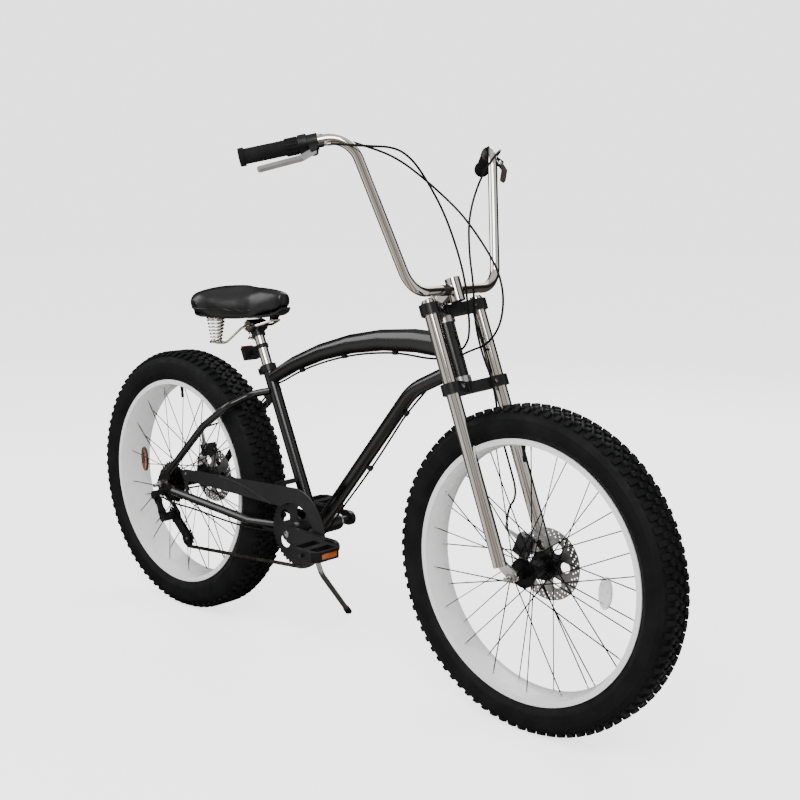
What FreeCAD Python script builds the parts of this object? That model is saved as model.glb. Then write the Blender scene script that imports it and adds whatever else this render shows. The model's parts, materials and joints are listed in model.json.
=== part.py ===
import FreeCAD, Part
import math
import os
import re
import Sketcher
from FreeCAD import Placement, Rotation, Vector

# A fat tire cruiser bike. X points forward, Y to the rider's left, Z up, in millimetres.
# The origin lies on the ground, half way along the bike.

doc = FreeCAD.newDocument("FatTireBike")
sheet = doc.addObject("Spreadsheet::Sheet", "Sizes")

sizes = {
    # General
    "overrun": 6, "fitGap": 0.05, "seatGap": 0.3,
    # Wheels and tyres
    "rimFlangeRadius": 285.5, "rimBeadRadius": 279.5, "rimWellRadius": 271, "rimInnerRadius": 268,
    "wheelbase": 1200, "frontTyreHeight": 68.5, "frontTyreRadius": "=rimFlangeRadius + frontTyreHeight",
    "rearTyreHeight": 79, "rearTyreRadius": "=rimFlangeRadius + rearTyreHeight",
    "frontTyreWidth": 96, "frontRimWidth": 76, "rearTyreWidth": 116, "rearRimWidth": 100,
    "rimLipWidth": 3, "rimLipDepth": 12, "rimSlopeWidth": 22,
    "tyreWall": 6, "knobHeight": 7, "knobLength": 26, "treadGroove": 7, "knobCount": 32,
    # Hubs, spokes and axles
    "axleRadius": 5, "axleEnd": 16, "axleNutRadius": 9, "axleNutLength": 9,
    "axleRelief": 2, "axleReliefRadius": 4, "hitchRadius": 4.5,
    "frontHubWidth": 135, "rearHubWidth": 190, "frontFlangeHalf": 36, "rearFlangeHalf": 46,
    "hubFlangeRadius": 32, "hubFlangeThickness": 4, "hubShellRadius": 19, "hubNoseRadius": 12,
    "hubEndGap": 2, "hubShoulderRadius": 24, "spokeCount": 36, "spokeRadius": 1.2, "nippleSpread": 17,
    "spokeCircle": 28, "spokeLeanAngle": 66,
    # Disc brakes
    "rotorRadius": 80, "rotorThickness": 2, "rotorBore": 20, "rotorBand": 13, "rotorWindowRadius": 12,
    "rotorWindowCount": 6, "frontRotorOffset": 55, "rearRotorOffset": 80, "caliperSlot": 5,
    "caliperLength": 48, "caliperDepth": 36, "caliperInnerWidth": 12, "caliperOuterWidth": 9,
    "caliperReach": 72, "caliperEdge": 82, "caliperArmInset": 10, "caliperArmLength": 44,
    "caliperArmThickness": 4, "caliperArmRadius": 8,
    "caliperPinRadius": 4, "frontCaliperAngle": 157, "rearCaliperAngle": 104, "caliperTabRadius": 9,
    # Steering and fork
    "headAngle": 69.2, "forkRake": 58.7, "crownSpacing": 176, "crownThickness": 24, "crownGap": 47,
    "lowerCrownHeight": "=frontTyreRadius + crownGap + crownThickness / 2",
    "crownWall": 7, "crownBossRadius": 24, "crownArmRadius": 18, "legLead": 40, "legSpread": 160,
    "legRadius": 15, "legWall": 2.5, "legBottom": 26, "legTop": 5, "headTubeRadius": 23, "headTubeWall": 4,
    "cupHeight": 14, "cupRadius": 26, "steererRadius": 14.3, "steererWall": 3,
    "forkBladeThickness": 6, "forkBladeRadius": 12,
    # Stem and handlebar
    "stemRise": 35, "stemReach": 55.7, "stemBlockRadius": 17, "stemBlockHeight": 52,
    "stemClampRadius": 20, "stemClampHeight": 26, "stemArmRadius": 15,
    "barRadius": 11.1, "barBaseHalf": 140,
    "barTopHalf": 232, "barTopRise": 322, "barTopBack": 88, "barEndHalf": 388, "barEndRise": 276,
    "barEndBack": 245, "barBend": 62,
    # Grips, twist shifter, brake perches and levers
    "gripRadius": 16, "gripFlange": 19, "gripFlangeLength": 8, "rightGripLength": 92, "leftGripLength": 128,
    "gripCap": 3, "shifterLength": 28, "shifterRadius": 17, "shifterRibHeight": 1.5, "shifterRibCount": 16,
    "shifterHouseRadius": 20, "shifterHouseLength": 18, "perchLength": 22, "perchWall": 6, "perchReach": 34,
    "perchCheek": 3, "perchCheekRadius": 8, "leverRadius": 6.5, "leverThickness": 8, "leverKneeReach": 18,
    "leverKneeOut": 28, "leverTipReach": 26, "leverTipOut": 112, "leverDropAngle": 35, "leverPinRadius": 3,
    # Frame
    "bottomBracketAhead": 534.75, "bottomBracketDrop": 38.5, "shellRadius": 22, "shellWall": 4,
    "shellWidth": 116, "shellCupWidth": 6, "shellCupRadius": 20, "seatTubeAngle": 66.5,
    "seatTubeSetback": 22, "seatTubeLength": 426, "seatTubeRadius": 16, "seatTubeWall": 2.3,
    "topTubeBow": 47, "topTubeSeatDrop": 36, "topTubeHeadDrop": 50, "topTubeHeadHeight": 58,
    "topTubeHeadWidth": 42, "topTubeSeatHeight": 34, "topTubeSeatWidth": 30, "topTubeWall": 3,
    "downTubeRadius": 17, "downTubeWall": 2.5, "downTubeHeadRise": 21, "downTubeKneeBack": 131,
    "downTubeKneeDrop": 60, "downTubeBend": 150,
    "seatStayRadius": 9.5, "seatStayDrop": 68, "seatStayRootSide": 12, "seatStayForkBack": 65,
    "seatStayForkDrop": 15, "seatStayForkSide": 22, "seatStayShoulderBack": 105, "seatStayShoulderDrop": 45,
    "seatStayShoulderSide": 74, "seatStayBow": 18, "seatStayEndAhead": 33, "seatStayEndRise": 39.5,
    "chainStayRadius": 11, "chainStayRootSide": 46, "chainStayNarrowBack": 100, "chainStayNarrowSide": 56,
    "chainStayNarrowDrop": 4, "chainStayWideBack": 190, "chainStayWideSide": 71, "chainStayWideDrop": 8,
    "chainStayEndAhead": 52, "chainStayEndDrop": 12, "stayBend": 45,
    "dropoutThickness": 6, "dropoutRadius": 20, "dropoutArmRadius": 10,
    "hangerBack": 8, "hangerDrop": 29, "hangerRadius": 11, "hangerBolt": 5,
    "collarHeight": 17, "collarWall": 5, "collarEar": 16, "collarEarWidth": 18, "collarSlot": 3,
    "collarBolt": 3,
    # Cranks, chainring, freewheel, chain and pedals
    "chainLine": 76, "crankLength": 160, "crankInset": 97, "crankThickness": 13, "crankBossRadius": 18,
    "crankEyeRadius": 14, "spindleRadius": 9, "crankFlangeRadius": 30, "ringBore": 18, "crankBossInset": 74,
    "chainPitch": 12.7, "ringTeeth": 44, "cogTeeth": 20, "pulleyTeeth": 11, "toothThickness": 1.8,
    "toothHeight": 3, "toothDepth": 3.8, "ringWindowCircle": 54, "ringWindowRadius": 17, "ringWindowCount": 5,
    "cogSpacing": 5, "cogBodyRadius": 20, "chainPlate": 0.9, "chainGapWidth": 3, "chainPlateHeight": 8,
    "chainPlateEnd": 4, "pedalAxleRadius": 5, "pedalWidth": 88, "pedalLength": 92, "pedalHeight": 24,
    "pedalGap": 8, "pedalBarrelRadius": 10, "pedalRail": 9, "pedalCorner": 14,
    # Rear derailleur
    "guideAhead": 22, "guideDrop": 88, "pulleySpacing": 84, "pulleyThickness": 8, "pulleyHubRadius": 8,
    "pulleyBoltRadius": 2.5,
    "cagePlate": 2, "cagePlateRadius": 12, "knuckleRadius": 12, "mountLength": 22, "cagePivot": 5,
    "cagePivotLength": 12,
    "linkRadius": 6, "linkWidth": 14, "linkEar": 3, "linkPinRadius": 2.5, "linkInset": 20,
    # Chain guard
    "guardThickness": 2.5, "guardOffset": 89, "guardRimRadius": 114, "guardMouthRadius": 74,
    "guardEndRadius": 15, "guardEndRise": 40, "guardEndAhead": 98, "guardTopAngle": 84,
    "guardMouthAngle": 128,
    "guardTipAngle": -4, "guardTabWidth": 14, "guardTabThickness": 3, "guardStrapRise": 104,
    "guardStrapHeight": 12,
    # Kickstand
    "standBack": 118, "standSide": 62, "standDrop": 36, "standLegRadius": 7, "standKneeAhead": 36,
    "standKneeSide": 16, "standKneeDrop": 125, "standFootBack": 27, "standFootSide": 178, "standTipRadius": 9,
    "standTipLength": 26, "standPlateThickness": 6, "standPlateLength": 44, "standPinRadius": 6,
    "standHeadRadius": 12, "standHeadLength": 22, "standTipCap": 8, "standPinEnd": 3, "standLugRadius": 10,
    "standLugLength": 12, "standBend": 40, "standFootRise": 2, "standYawAngle": 11.6, "standTiltAngle": 30.3,
    # Seat post and saddle
    "postRadius": 13.6, "postWall": 2.2, "postAbove": 96, "postInside": 190, "clampLength": 46,
    "clampRadius": 17, "clampWall": 4, "clampRise": 13, "saddleLength": 272, "saddleWidth": 226,
    "saddleNoseAhead": 118, "saddleRise": 28, "saddleDepth": 70, "panThickness": 6,
    "railRadius": 3.5, "railDisc": 6, "railDiscRadius": 14, "railPin": 4, "railNoseBack": 40,
    "railFrontAhead": 34, "railBackBehind": 22, "railNoseSide": 12, "railBend": 24, "springBack": 84,
    "springSide": 64,
    "springTopRadius": 23, "springBottomRadius": 16, "springWire": 2.5, "springTurns": 3, "springCup": 4,
    "springFootDrop": 46,
    # Rear reflector
    "reflectorWidth": 46, "reflectorHeight": 34, "reflectorDepth": 12, "reflectorRise": 46,
    "reflectorBack": 34,
    "reflectorBand": 10, "reflectorBandWall": 3, "reflectorArm": 6,
    # Cable housings
    "housingRadius": 2.5, "housingRun": 70, "housingSag": 8, "wireSides": 8, "topTubeSides": 24,
}
for row, (alias, amount) in enumerate(sizes.items(), 1):
    sheet.set("A%d" % row, alias)
    sheet.set("B%d" % row, str(amount))
    sheet.setAlias("B%d" % row, alias)
doc.recompute()


class Named:
    pass


s = Named()
for alias in sizes:
    setattr(s, alias, float(sheet.get(alias)))


def bound(text):
    return re.sub(r"[A-Za-z]\w*", lambda word: "Sizes." + word.group(), text)


def number(text):
    return float(sheet.evalExpression(bound(text)))


X, Y, Z = Vector(1, 0, 0), Vector(0, 1, 0), Vector(0, 0, 1)
alongY = Rotation(X, -90)
parts = []


def keep(item, label):
    item.Label = label
    parts.append(item)
    return item


def feature(label, shape, place=None):
    item = doc.addObject("Part::Feature", label)
    item.Shape = shape
    if place:
        item.Placement = place
    return keep(item, label)


def planeOf(body, role):
    return next(plane for plane in body.Origin.OriginFeatures if plane.Role == role)


def fixPoint(sketch, line, texts, values):
    for kind, axis, text, value in zip(("DistanceX", "DistanceY"), (-2, -1), texts, values):
        if abs(value) < 1e-7:
            sketch.addConstraint(Sketcher.Constraint("PointOnObject", line, 1, axis))
        elif value > 0:
            index = sketch.addConstraint(Sketcher.Constraint(kind, -1, 1, line, 1, value))
            sketch.setExpression("Constraints[%d]" % index, bound(text))
        else:
            index = sketch.addConstraint(Sketcher.Constraint(kind, line, 1, -1, 1, -value))
            sketch.setExpression("Constraints[%d]" % index, bound("-(%s)" % text))


def outlineSketch(body, role, outline, circles=()):
    sketch = body.newObject("Sketcher::SketchObject", body.Name + "Sketch")
    sketch.AttachmentSupport = [(planeOf(body, role), "")]
    sketch.MapMode = "FlatFace"
    points = [tuple(number(text) for text in texts) for texts in outline]
    for start, end in zip(points, points[1:] + points[:1]):
        sketch.addGeometry(Part.LineSegment(Vector(*start), Vector(*end)))
    for line in range(len(points)):
        sketch.addConstraint(Sketcher.Constraint("Coincident", line, 2, (line + 1) % len(points), 1))
    for line, (texts, values) in enumerate(zip(outline, points)):
        fixPoint(sketch, line, texts, values)
    for across, along, radius in circles:
        centre = Vector(across, along)
        hole = sketch.addGeometry(Part.Circle(centre, Z, number(radius)))
        index = sketch.addConstraint(Sketcher.Constraint("Radius", hole, number(radius)))
        sketch.setExpression("Constraints[%d]" % index, bound(radius))
    return sketch


# A turned piece: its outline holds (radius, height) pairs and spins about the body's own Z axis.
def turned(label, outline, place=None):
    body = doc.addObject("PartDesign::Body", label)
    sketch = outlineSketch(body, "XZ_Plane", outline)
    spin = body.newObject("PartDesign::Revolution", label + "Spin")
    spin.Profile = sketch
    spin.ReferenceAxis = (sketch, ["V_Axis"])
    spin.Angle = 360
    doc.recompute()
    if place:
        body.Placement = place
    return body


# A flat piece: its outline lies in the body's XY plane and is padded evenly to both sides of it.
def padded(label, outline, thickness, circles=(), place=None):
    body = doc.addObject("PartDesign::Body", label)
    pad = body.newObject("PartDesign::Pad", label + "Pad")
    pad.Profile = outlineSketch(body, "XY_Plane", outline, circles)
    pad.setExpression("Length", bound(thickness))
    pad.Midplane = True
    doc.recompute()
    if place:
        body.Placement = place
    return body


def group(label, items):
    return feature(label, Part.makeCompound([getattr(item, "Shape", item) for item in items]))


def rod(start, end, radius):
    run = end - start
    return Part.makeCylinder(radius, run.Length, start, run)


def ring(radius, bore, height, base=Vector(), axis=Z):
    outer = Part.makeCylinder(radius, height, base, axis)
    return outer.cut(Part.makeCylinder(bore, height, base, axis))


# A bent path: straight runs joined by tangent arcs of the given radius at the inner points.
def bentPath(points, bends):
    edges = []
    start = points[0]
    for before, corner, after, bend in zip(points, points[1:], points[2:], bends):
        back, ahead = (before - corner).normalize(), (after - corner).normalize()
        half = back.getAngle(ahead) / 2
        setback = bend / math.tan(half)
        entry, leave = corner + back * setback, corner + ahead * setback
        middle = (back + ahead).normalize()
        crest = corner + middle * (bend / math.sin(half) - bend)
        if (entry - start).Length > s.fitGap:
            edges.append(Part.makeLine(start, entry))
        edges.append(Part.Arc(entry, crest, leave).toShape())
        start = leave
    edges.append(Part.makeLine(start, points[-1]))
    return Part.Wire(edges)


# A bar along a path: round, or with flat sides where their count is given.
def pipe(path, radius, sides=0):
    first = path.Edges[0]
    along = first.tangentAt(first.FirstParameter)
    profile = Part.Wire(Part.makeCircle(radius, first.valueAt(first.FirstParameter), along))
    if sides:
        profile = Part.makePolygon(profile.discretize(int(sides) + 1))
    return path.makePipeShell([profile], True, False)


def tube(path, radius, wall):
    return pipe(path, radius).cut(pipe(path, radius - wall))


# A flat link: two round ends joined by their outer tangents, padded to both sides along the normal.
def link(centres, radii, thickness, normal):
    (a, b), (ra, rb) = centres, radii
    run = b - a
    lean = math.acos((ra - rb) / run.Length)
    along = run.normalize()
    side = normal.cross(along)
    ends = []
    for centre, radius in ((a, ra), (b, rb)):
        reach = along * math.cos(lean) * radius
        swing = side * math.sin(lean) * radius
        ends.append((centre + reach + swing, centre + reach - swing))
    edges = [
        Part.makeLine(ends[0][0], ends[1][0]),
        Part.Arc(ends[1][0], b + along * rb, ends[1][1]).toShape(),
        Part.makeLine(ends[1][1], ends[0][1]),
        Part.Arc(ends[0][1], a - along * ra, ends[0][0]).toShape(),
    ]
    plate = Part.Face(Part.Wire(edges)).extrude(normal * thickness)
    plate.translate(normal * (-thickness / 2))
    return plate


# Main places
bikeLength = s.wheelbase + s.frontTyreRadius + s.rearTyreRadius
frontAxle = Vector(bikeLength / 2 - s.frontTyreRadius, 0, s.frontTyreRadius)
rearAxle = Vector(s.rearTyreRadius - bikeLength / 2, 0, s.rearTyreRadius)
bracket = rearAxle + Vector(s.bottomBracketAhead, 0, -s.bottomBracketDrop)
steerTurn = Rotation(Y, s.headAngle - 90)
steerUp, steerAhead = steerTurn.multVec(Z), steerTurn.multVec(X)
steerFoot = frontAxle - steerAhead * s.forkRake
steerFrame = Placement(steerFoot, steerTurn)
upperCrownHeight = s.lowerCrownHeight + s.crownSpacing
headBottom = s.lowerCrownHeight + s.crownThickness / 2 + s.cupHeight + s.seatGap
headTop = upperCrownHeight - s.crownThickness / 2 - s.cupHeight - s.seatGap
seatTurn = Rotation(Y, s.seatTubeAngle - 90)
seatUp = seatTurn.multVec(Z)
seatFoot = bracket - X * s.seatTubeSetback
seatFrame = Placement(seatFoot, seatTurn)
seatTop = seatFoot + seatUp * s.seatTubeLength
dropoutInner = s.rearHubWidth / 2
dropoutMiddle = dropoutInner + s.dropoutThickness / 2


def steer(ahead, side, up):
    return steerFrame.multVec(Vector(ahead, side, up))


# A closed ring of flat facets: the outline holds (radius, height) pairs, with radii taken to the flats.
def facetedRing(outline, count):
    turn = 2 * math.pi / count
    rings = []
    for radius, height in outline:
        reach = radius / math.cos(turn / 2)
        angles = [(index + 0.5) * turn for index in range(count)]
        rings.append([Vector(reach * math.cos(angle), reach * math.sin(angle), height) for angle in angles])
    faces = []
    for lower, upper in zip(rings, rings[1:] + rings[:1]):
        for index in range(count):
            corners = [lower[index - 1], lower[index], upper[index], upper[index - 1]]
            faces.append(Part.Face(Part.makePolygon(corners + corners[:1])))
    solid = Part.Solid(Part.Shell(faces))
    if solid.Volume < 0:
        solid.reverse()
    return solid


# Tyre: a bulging carcass with a flat crown, sloping shoulders and staggered rows of square knobs.
def tyre(label, axle, radius, width, rimWidth):
    bulgeShare, shoulderShare, slopeShare, crownShare, sinkShare = 0.42, 0.86, 0.13, 0.46, 0.5
    wallFacets = 3
    half = width / 2
    crown = radius - s.knobHeight
    beadSide = rimWidth / 2 - s.rimLipWidth - s.seatGap
    height = crown - s.rimBeadRadius
    bead = Vector(s.rimBeadRadius, 0, beadSide)
    neck = Vector(s.rimFlangeRadius + s.seatGap, 0, beadSide)
    bulge = Vector(s.rimBeadRadius + height * bulgeShare, 0, half)
    shoulder = Vector(crown - height * slopeShare, 0, half * shoulderShare)
    crownEdge = Vector(crown, 0, half * crownShare)
    wall = Part.Arc(neck, bulge, shoulder).toShape().discretize(wallFacets + 1)
    outer = [(point.x, point.z) for point in [bead] + wall + [crownEdge]]
    inner = [
        (crown - s.tyreWall, crownEdge.z),
        (bulge.x, half - s.tyreWall),
        (bead.x, beadSide - s.tyreWall),
    ]
    upper = outer + [(radius, -side) for radius, side in outer[::-1]]
    lower = [(radius, -side) for radius, side in inner[::-1]] + inner
    tread = facetedRing(upper + lower, 2 * int(s.knobCount))
    slope = math.degrees(math.atan2(crown - shoulder.x, shoulder.z - crownEdge.z))
    sink = s.knobHeight * sinkShare
    shoulderWidth = (shoulder - crownEdge).Length - s.treadGroove
    centreKnob = Part.makeBox(s.knobHeight + sink, s.knobLength, crownEdge.z - s.treadGroove)
    centreKnob.translate(Vector(crown - sink, -s.knobLength / 2, s.treadGroove / 2))
    shoulderKnob = Part.makeBox(s.knobHeight + sink, s.knobLength, shoulderWidth)
    shoulderKnob.translate(crownEdge + Vector(-sink, -s.knobLength / 2, s.treadGroove / 2))
    shoulderKnob.rotate(crownEdge, Y, -slope)
    knobs = []
    for knob, phase in ((centreKnob, 0), (shoulderKnob, 0.5)):
        for side in (knob, knob.mirror(Vector(), Z)):
            for index in range(int(s.knobCount)):
                copy = side.copy()
                copy.rotate(Vector(), Z, (index + phase) * 360 / s.knobCount)
                knobs.append(copy)
    return feature(label, tread.fuse(knobs), Placement(axle, alongY))


# Rim: a single-wall barrel with raised bead lips.
def rim(label, axle, width):
    half = width + " / 2"
    upper = [
        ("rimInnerRadius", half + " - rimSlopeWidth"),
        ("rimFlangeRadius - rimLipDepth", half),
        ("rimFlangeRadius", half),
        ("rimFlangeRadius", half + " - rimLipWidth"),
        ("rimBeadRadius", half + " - rimLipWidth"),
        ("rimWellRadius", half + " - rimSlopeWidth"),
    ]
    lower = [(radius, "-(%s)" % height) for radius, height in upper[::-1]]
    return keep(turned(label, upper + lower, Placement(axle, alongY)), label)


# Hub: two spoke flanges, a shoulder that carries the brake rotor, and a plain bore.
def hub(label, axle, width, flange, rotor):
    end = width + " / 2 - hubEndGap"
    bore = "axleRadius + fitGap"
    outer, inner = flange + " + hubFlangeThickness / 2", flange + " - hubFlangeThickness / 2"
    seat, face = rotor + " - rotorThickness / 2", rotor + " + rotorThickness / 2"
    outline = [
        (bore, "-(%s)" % end), ("hubNoseRadius", "-(%s)" % end), ("hubNoseRadius", "-(%s)" % outer),
        ("hubFlangeRadius", "-(%s)" % outer), ("hubFlangeRadius", "-(%s)" % inner),
        ("hubShellRadius", "-(%s)" % inner), ("hubShellRadius", inner),
        ("hubFlangeRadius", inner), ("hubFlangeRadius", outer), ("hubShoulderRadius", outer),
        ("hubShoulderRadius", seat), ("rotorBore - fitGap", seat), ("rotorBore - fitGap", face),
        ("hubNoseRadius", face), ("hubNoseRadius", end), (bore, end),
    ]
    return keep(turned(label, outline, Placement(axle, alongY)), label)


# Axle: a rod with a nut and a thread relief at each side; the left end can be a hitch stud of its own radius.
def axlePiece(label, axle, width, plate, leftRadius):
    face = width + " / 2 + " + plate
    nut = face + " + axleNutLength"
    relief, tip = nut + " + axleRelief", nut + " + axleEnd"

    def end(radius):
        nutPoints = [("axleRadius", face), ("axleNutRadius", face), ("axleNutRadius", nut)]
        reliefPoints = [("axleReliefRadius", nut), ("axleReliefRadius", relief)]
        return nutPoints + reliefPoints + [(radius, relief), (radius, tip), ("0", tip)]

    lower = [(radius, "-(%s)" % height) for radius, height in end("axleRadius")[::-1]]
    return keep(turned(label, lower + end(leftRadius), Placement(axle, alongY)), label)


# A bar with flat sides along a line.
def flatBar(start, end, radius, sides):
    turn = Rotation(Z, end - start)
    corners = []
    for index in range(sides + 1):
        angle = 2 * math.pi * index / sides
        corners.append(start + turn.multVec(Vector(radius * math.cos(angle), radius * math.sin(angle))))
    return Part.Face(Part.makePolygon(corners)).extrude(end - start)


# Spokes: crossed straight wires, laid in turn outside and inside both flanges.
def spokes(label, axle, flangeHalf):
    wireSides = 4
    wires = []
    perSide = int(s.spokeCount) // 2
    rimEnd = s.rimInnerRadius - s.fitGap
    offset = s.hubFlangeThickness / 2 + s.spokeRadius + s.fitGap
    flangeEdge = s.hubFlangeRadius + s.spokeRadius
    for side in (1, -1):
        for index in range(perSide):
            turn = 1 if index % 2 else -1
            angle = math.radians((index + (1 - side) / 4) * 360 / perSide)
            lean = angle + turn * math.radians(s.spokeLeanAngle)
            hubEnd = Vector(s.spokeCircle * math.cos(lean), s.spokeCircle * math.sin(lean))
            end = Vector(rimEnd * math.cos(angle), rimEnd * math.sin(angle))
            along = (end - hubEnd).normalize()
            ahead = hubEnd.dot(along)
            past = math.sqrt(ahead ** 2 - s.spokeCircle ** 2 + flangeEdge ** 2) - ahead
            past = max(turn, 0) * past / ((end - hubEnd).Length - past)
            end.z = side * s.nippleSpread
            edgeHeight = side * (flangeHalf + turn * offset)
            hubEnd.z = edgeHeight + (edgeHeight - end.z) * past
            wires.append(flatBar(hubEnd, end, s.spokeRadius, wireSides))
    return feature(label, Part.makeCompound(wires), Placement(axle, alongY))


# Brake rotor: a thin ring with round windows.
def rotor(label, axle, offset):
    windowCircle = (s.rotorBore + s.rotorRadius - s.rotorBand) / 2
    windows = int(s.rotorWindowCount)
    circles = [(0, 0, "rotorRadius"), (0, 0, "rotorBore")]
    for index in range(windows):
        angle = 2 * math.pi * index / windows
        circles.append((windowCircle * math.cos(angle), windowCircle * math.sin(angle), "rotorWindowRadius"))
    place = Placement(axle + Y * offset, alongY)
    return keep(padded(label, [], "rotorThickness", circles, place), label)


def wheel(end, axle, radius, offset):
    width = end + "TyreWidth"
    tyre(end + "_tyre", axle, radius, getattr(s, width), getattr(s, end + "RimWidth"))
    rim(end + "_rim", axle, end + "RimWidth")
    hub(end + "_hub", axle, end + "HubWidth", end + "FlangeHalf", end + "RotorOffset")
    spokes(end + "_spokes", axle, getattr(s, end + "FlangeHalf"))
    rotor(end + "_rotor", axle, offset)


wheel("front", frontAxle, s.frontTyreRadius, s.frontRotorOffset)
wheel("rear", rearAxle, s.rearTyreRadius, s.rearRotorOffset)
axlePiece("front_axle", frontAxle, "frontHubWidth", "forkBladeThickness", "axleRadius")
axlePiece("rear_axle", rearAxle, "rearHubWidth", "dropoutThickness", "hitchRadius")


# A tube section turned about the local Z axis.
def sleeve(label, outer, bore, low, high, place):
    return turned(label, [(bore, low), (outer, low), (outer, high), (bore, high)], place)


# Head tube, bottom bracket shell and the bearing cups of both
headLow = "lowerCrownHeight + crownThickness / 2 + seatGap + cupHeight"
headHigh = "lowerCrownHeight + crownSpacing - crownThickness / 2 - seatGap - cupHeight"
shellEnd = "shellWidth / 2"
bracketFrame = Placement(bracket, alongY)
headTubeBore = "headTubeRadius - headTubeWall"
headTube = sleeve("head_tube", "headTubeRadius", headTubeBore, headLow, headHigh, steerFrame)
keep(headTube, "head_tube")
shellInner, shellStart = "shellRadius - shellWall", "-(%s)" % shellEnd
shell = sleeve("bottom_bracket_shell", "shellRadius", shellInner, shellStart, shellEnd, bracketFrame)
keep(shell, "bottom_bracket_shell")
headBore, shellBore = "steererRadius + fitGap", "spindleRadius + fitGap"
cupEnd = shellEnd + " + shellCupWidth"
cups = [
    sleeve("lower_cup", "cupRadius", headBore, headLow + " - cupHeight", headLow, steerFrame),
    sleeve("upper_cup", "cupRadius", headBore, headHigh, headHigh + " + cupHeight", steerFrame),
    sleeve("left_cup", "shellCupRadius", shellBore, shellEnd, cupEnd, bracketFrame),
    sleeve("right_cup", "shellCupRadius", shellBore, "-(%s)" % cupEnd, "-(%s)" % shellEnd, bracketFrame),
]
group("bearing_cups", cups)

# Frame tubes, each coped against the tubes that it meets
headCore = rod(steer(0, 0, s.lowerCrownHeight), steer(0, 0, upperCrownHeight), s.headTubeRadius)
shellCore = rod(bracket - Y * (s.shellWidth / 2), bracket + Y * (s.shellWidth / 2), s.shellRadius)
cupReach = Y * (s.shellWidth / 2 + s.shellCupWidth)
cupCore = rod(bracket - cupReach, bracket + cupReach, s.shellCupRadius + s.fitGap)
seatCore = rod(seatFoot, seatTop, s.seatTubeRadius)
seatBlank = sleeve(
    "seat_tube_blank", "seatTubeRadius", "seatTubeRadius - seatTubeWall", "0", "seatTubeLength", seatFrame
)
feature("seat_tube", seatBlank.Shape.cut(shellCore))

topStart = seatTop - seatUp * s.topTubeSeatDrop
topEnd = steer(0, 0, headTop - s.topTubeHeadDrop)
topRun = topEnd - topStart
topLift = Vector(-topRun.z, 0, topRun.x).normalize()
topArc = Part.Arc(topStart, (topStart + topEnd) / 2 + topLift * s.topTubeBow, topEnd).toShape()
topSections = 7
topStep = (topArc.LastParameter - topArc.FirstParameter) / (topSections - 1)
topDip = topArc.Curve.Radius * (1 - math.cos(topStep / 2))


def topTubeCore(inset):
    sections = []
    for index in range(topSections):
        share = index / (topSections - 1)
        at = topArc.FirstParameter + topStep * index
        along = topArc.tangentAt(at)
        up = Vector(-along.z, 0, along.x)
        tall = s.topTubeSeatHeight + (s.topTubeHeadHeight - s.topTubeSeatHeight) * share - 2 * inset
        wide = s.topTubeSeatWidth + (s.topTubeHeadWidth - s.topTubeSeatWidth) * share - 2 * inset
        oval = Part.Wire(Part.Ellipse(Vector(), tall / 2, wide / 2).toShape())
        section = Part.makePolygon(oval.discretize(int(s.topTubeSides) + 1))
        section.Placement = Placement(topArc.valueAt(at), Rotation(up, Y, up.cross(Y), "ZXY"))
        sections.append(section)
    return Part.makeLoft(sections, True, True)


feature("top_tube", topTubeCore(0).cut(topTubeCore(s.topTubeWall)).cut([headCore, seatCore]))
downStart = steer(0, 0, headBottom + s.downTubeHeadRise)
downKnee = downStart - Vector(s.downTubeKneeBack, 0, s.downTubeKneeDrop)
downPath = bentPath([downStart, downKnee, bracket], [s.downTubeBend])
downTube = tube(downPath, s.downTubeRadius, s.downTubeWall)
feature("down_tube", downTube.cut([headCore, shellCore, seatCore]))


# Rear stays and dropouts
def seatStayPath(side):
    bowShare = 0.4
    root = seatTop - seatUp * s.seatStayDrop
    fork = root + Vector(-s.seatStayForkBack, side * s.seatStayForkSide, -s.seatStayForkDrop)
    shoulder = root + Vector(-s.seatStayShoulderBack, side * s.seatStayShoulderSide, -s.seatStayShoulderDrop)
    end = rearAxle + Vector(s.seatStayEndAhead, side * dropoutMiddle, s.seatStayEndRise)
    waist = shoulder + (end - shoulder) * bowShare + Z * s.seatStayBow
    return [root + Y * (side * s.seatStayRootSide), fork, shoulder, waist, end]


def chainStayPath(side):
    root = bracket + Y * (side * s.chainStayRootSide)
    narrow = bracket + Vector(-s.chainStayNarrowBack, side * s.chainStayNarrowSide, -s.chainStayNarrowDrop)
    wide = bracket + Vector(-s.chainStayWideBack, side * s.chainStayWideSide, -s.chainStayWideDrop)
    end = rearAxle + Vector(s.chainStayEndAhead, side * dropoutMiddle, -s.chainStayEndDrop)
    return [root, narrow, wide, end]


hangerPoint = rearAxle - Vector(s.hangerBack, dropoutMiddle, s.hangerDrop)


def caliperSpot(axle, angle):
    return axle + Vector(math.cos(math.radians(angle)), 0, math.sin(math.radians(angle))) * s.caliperReach


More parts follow.
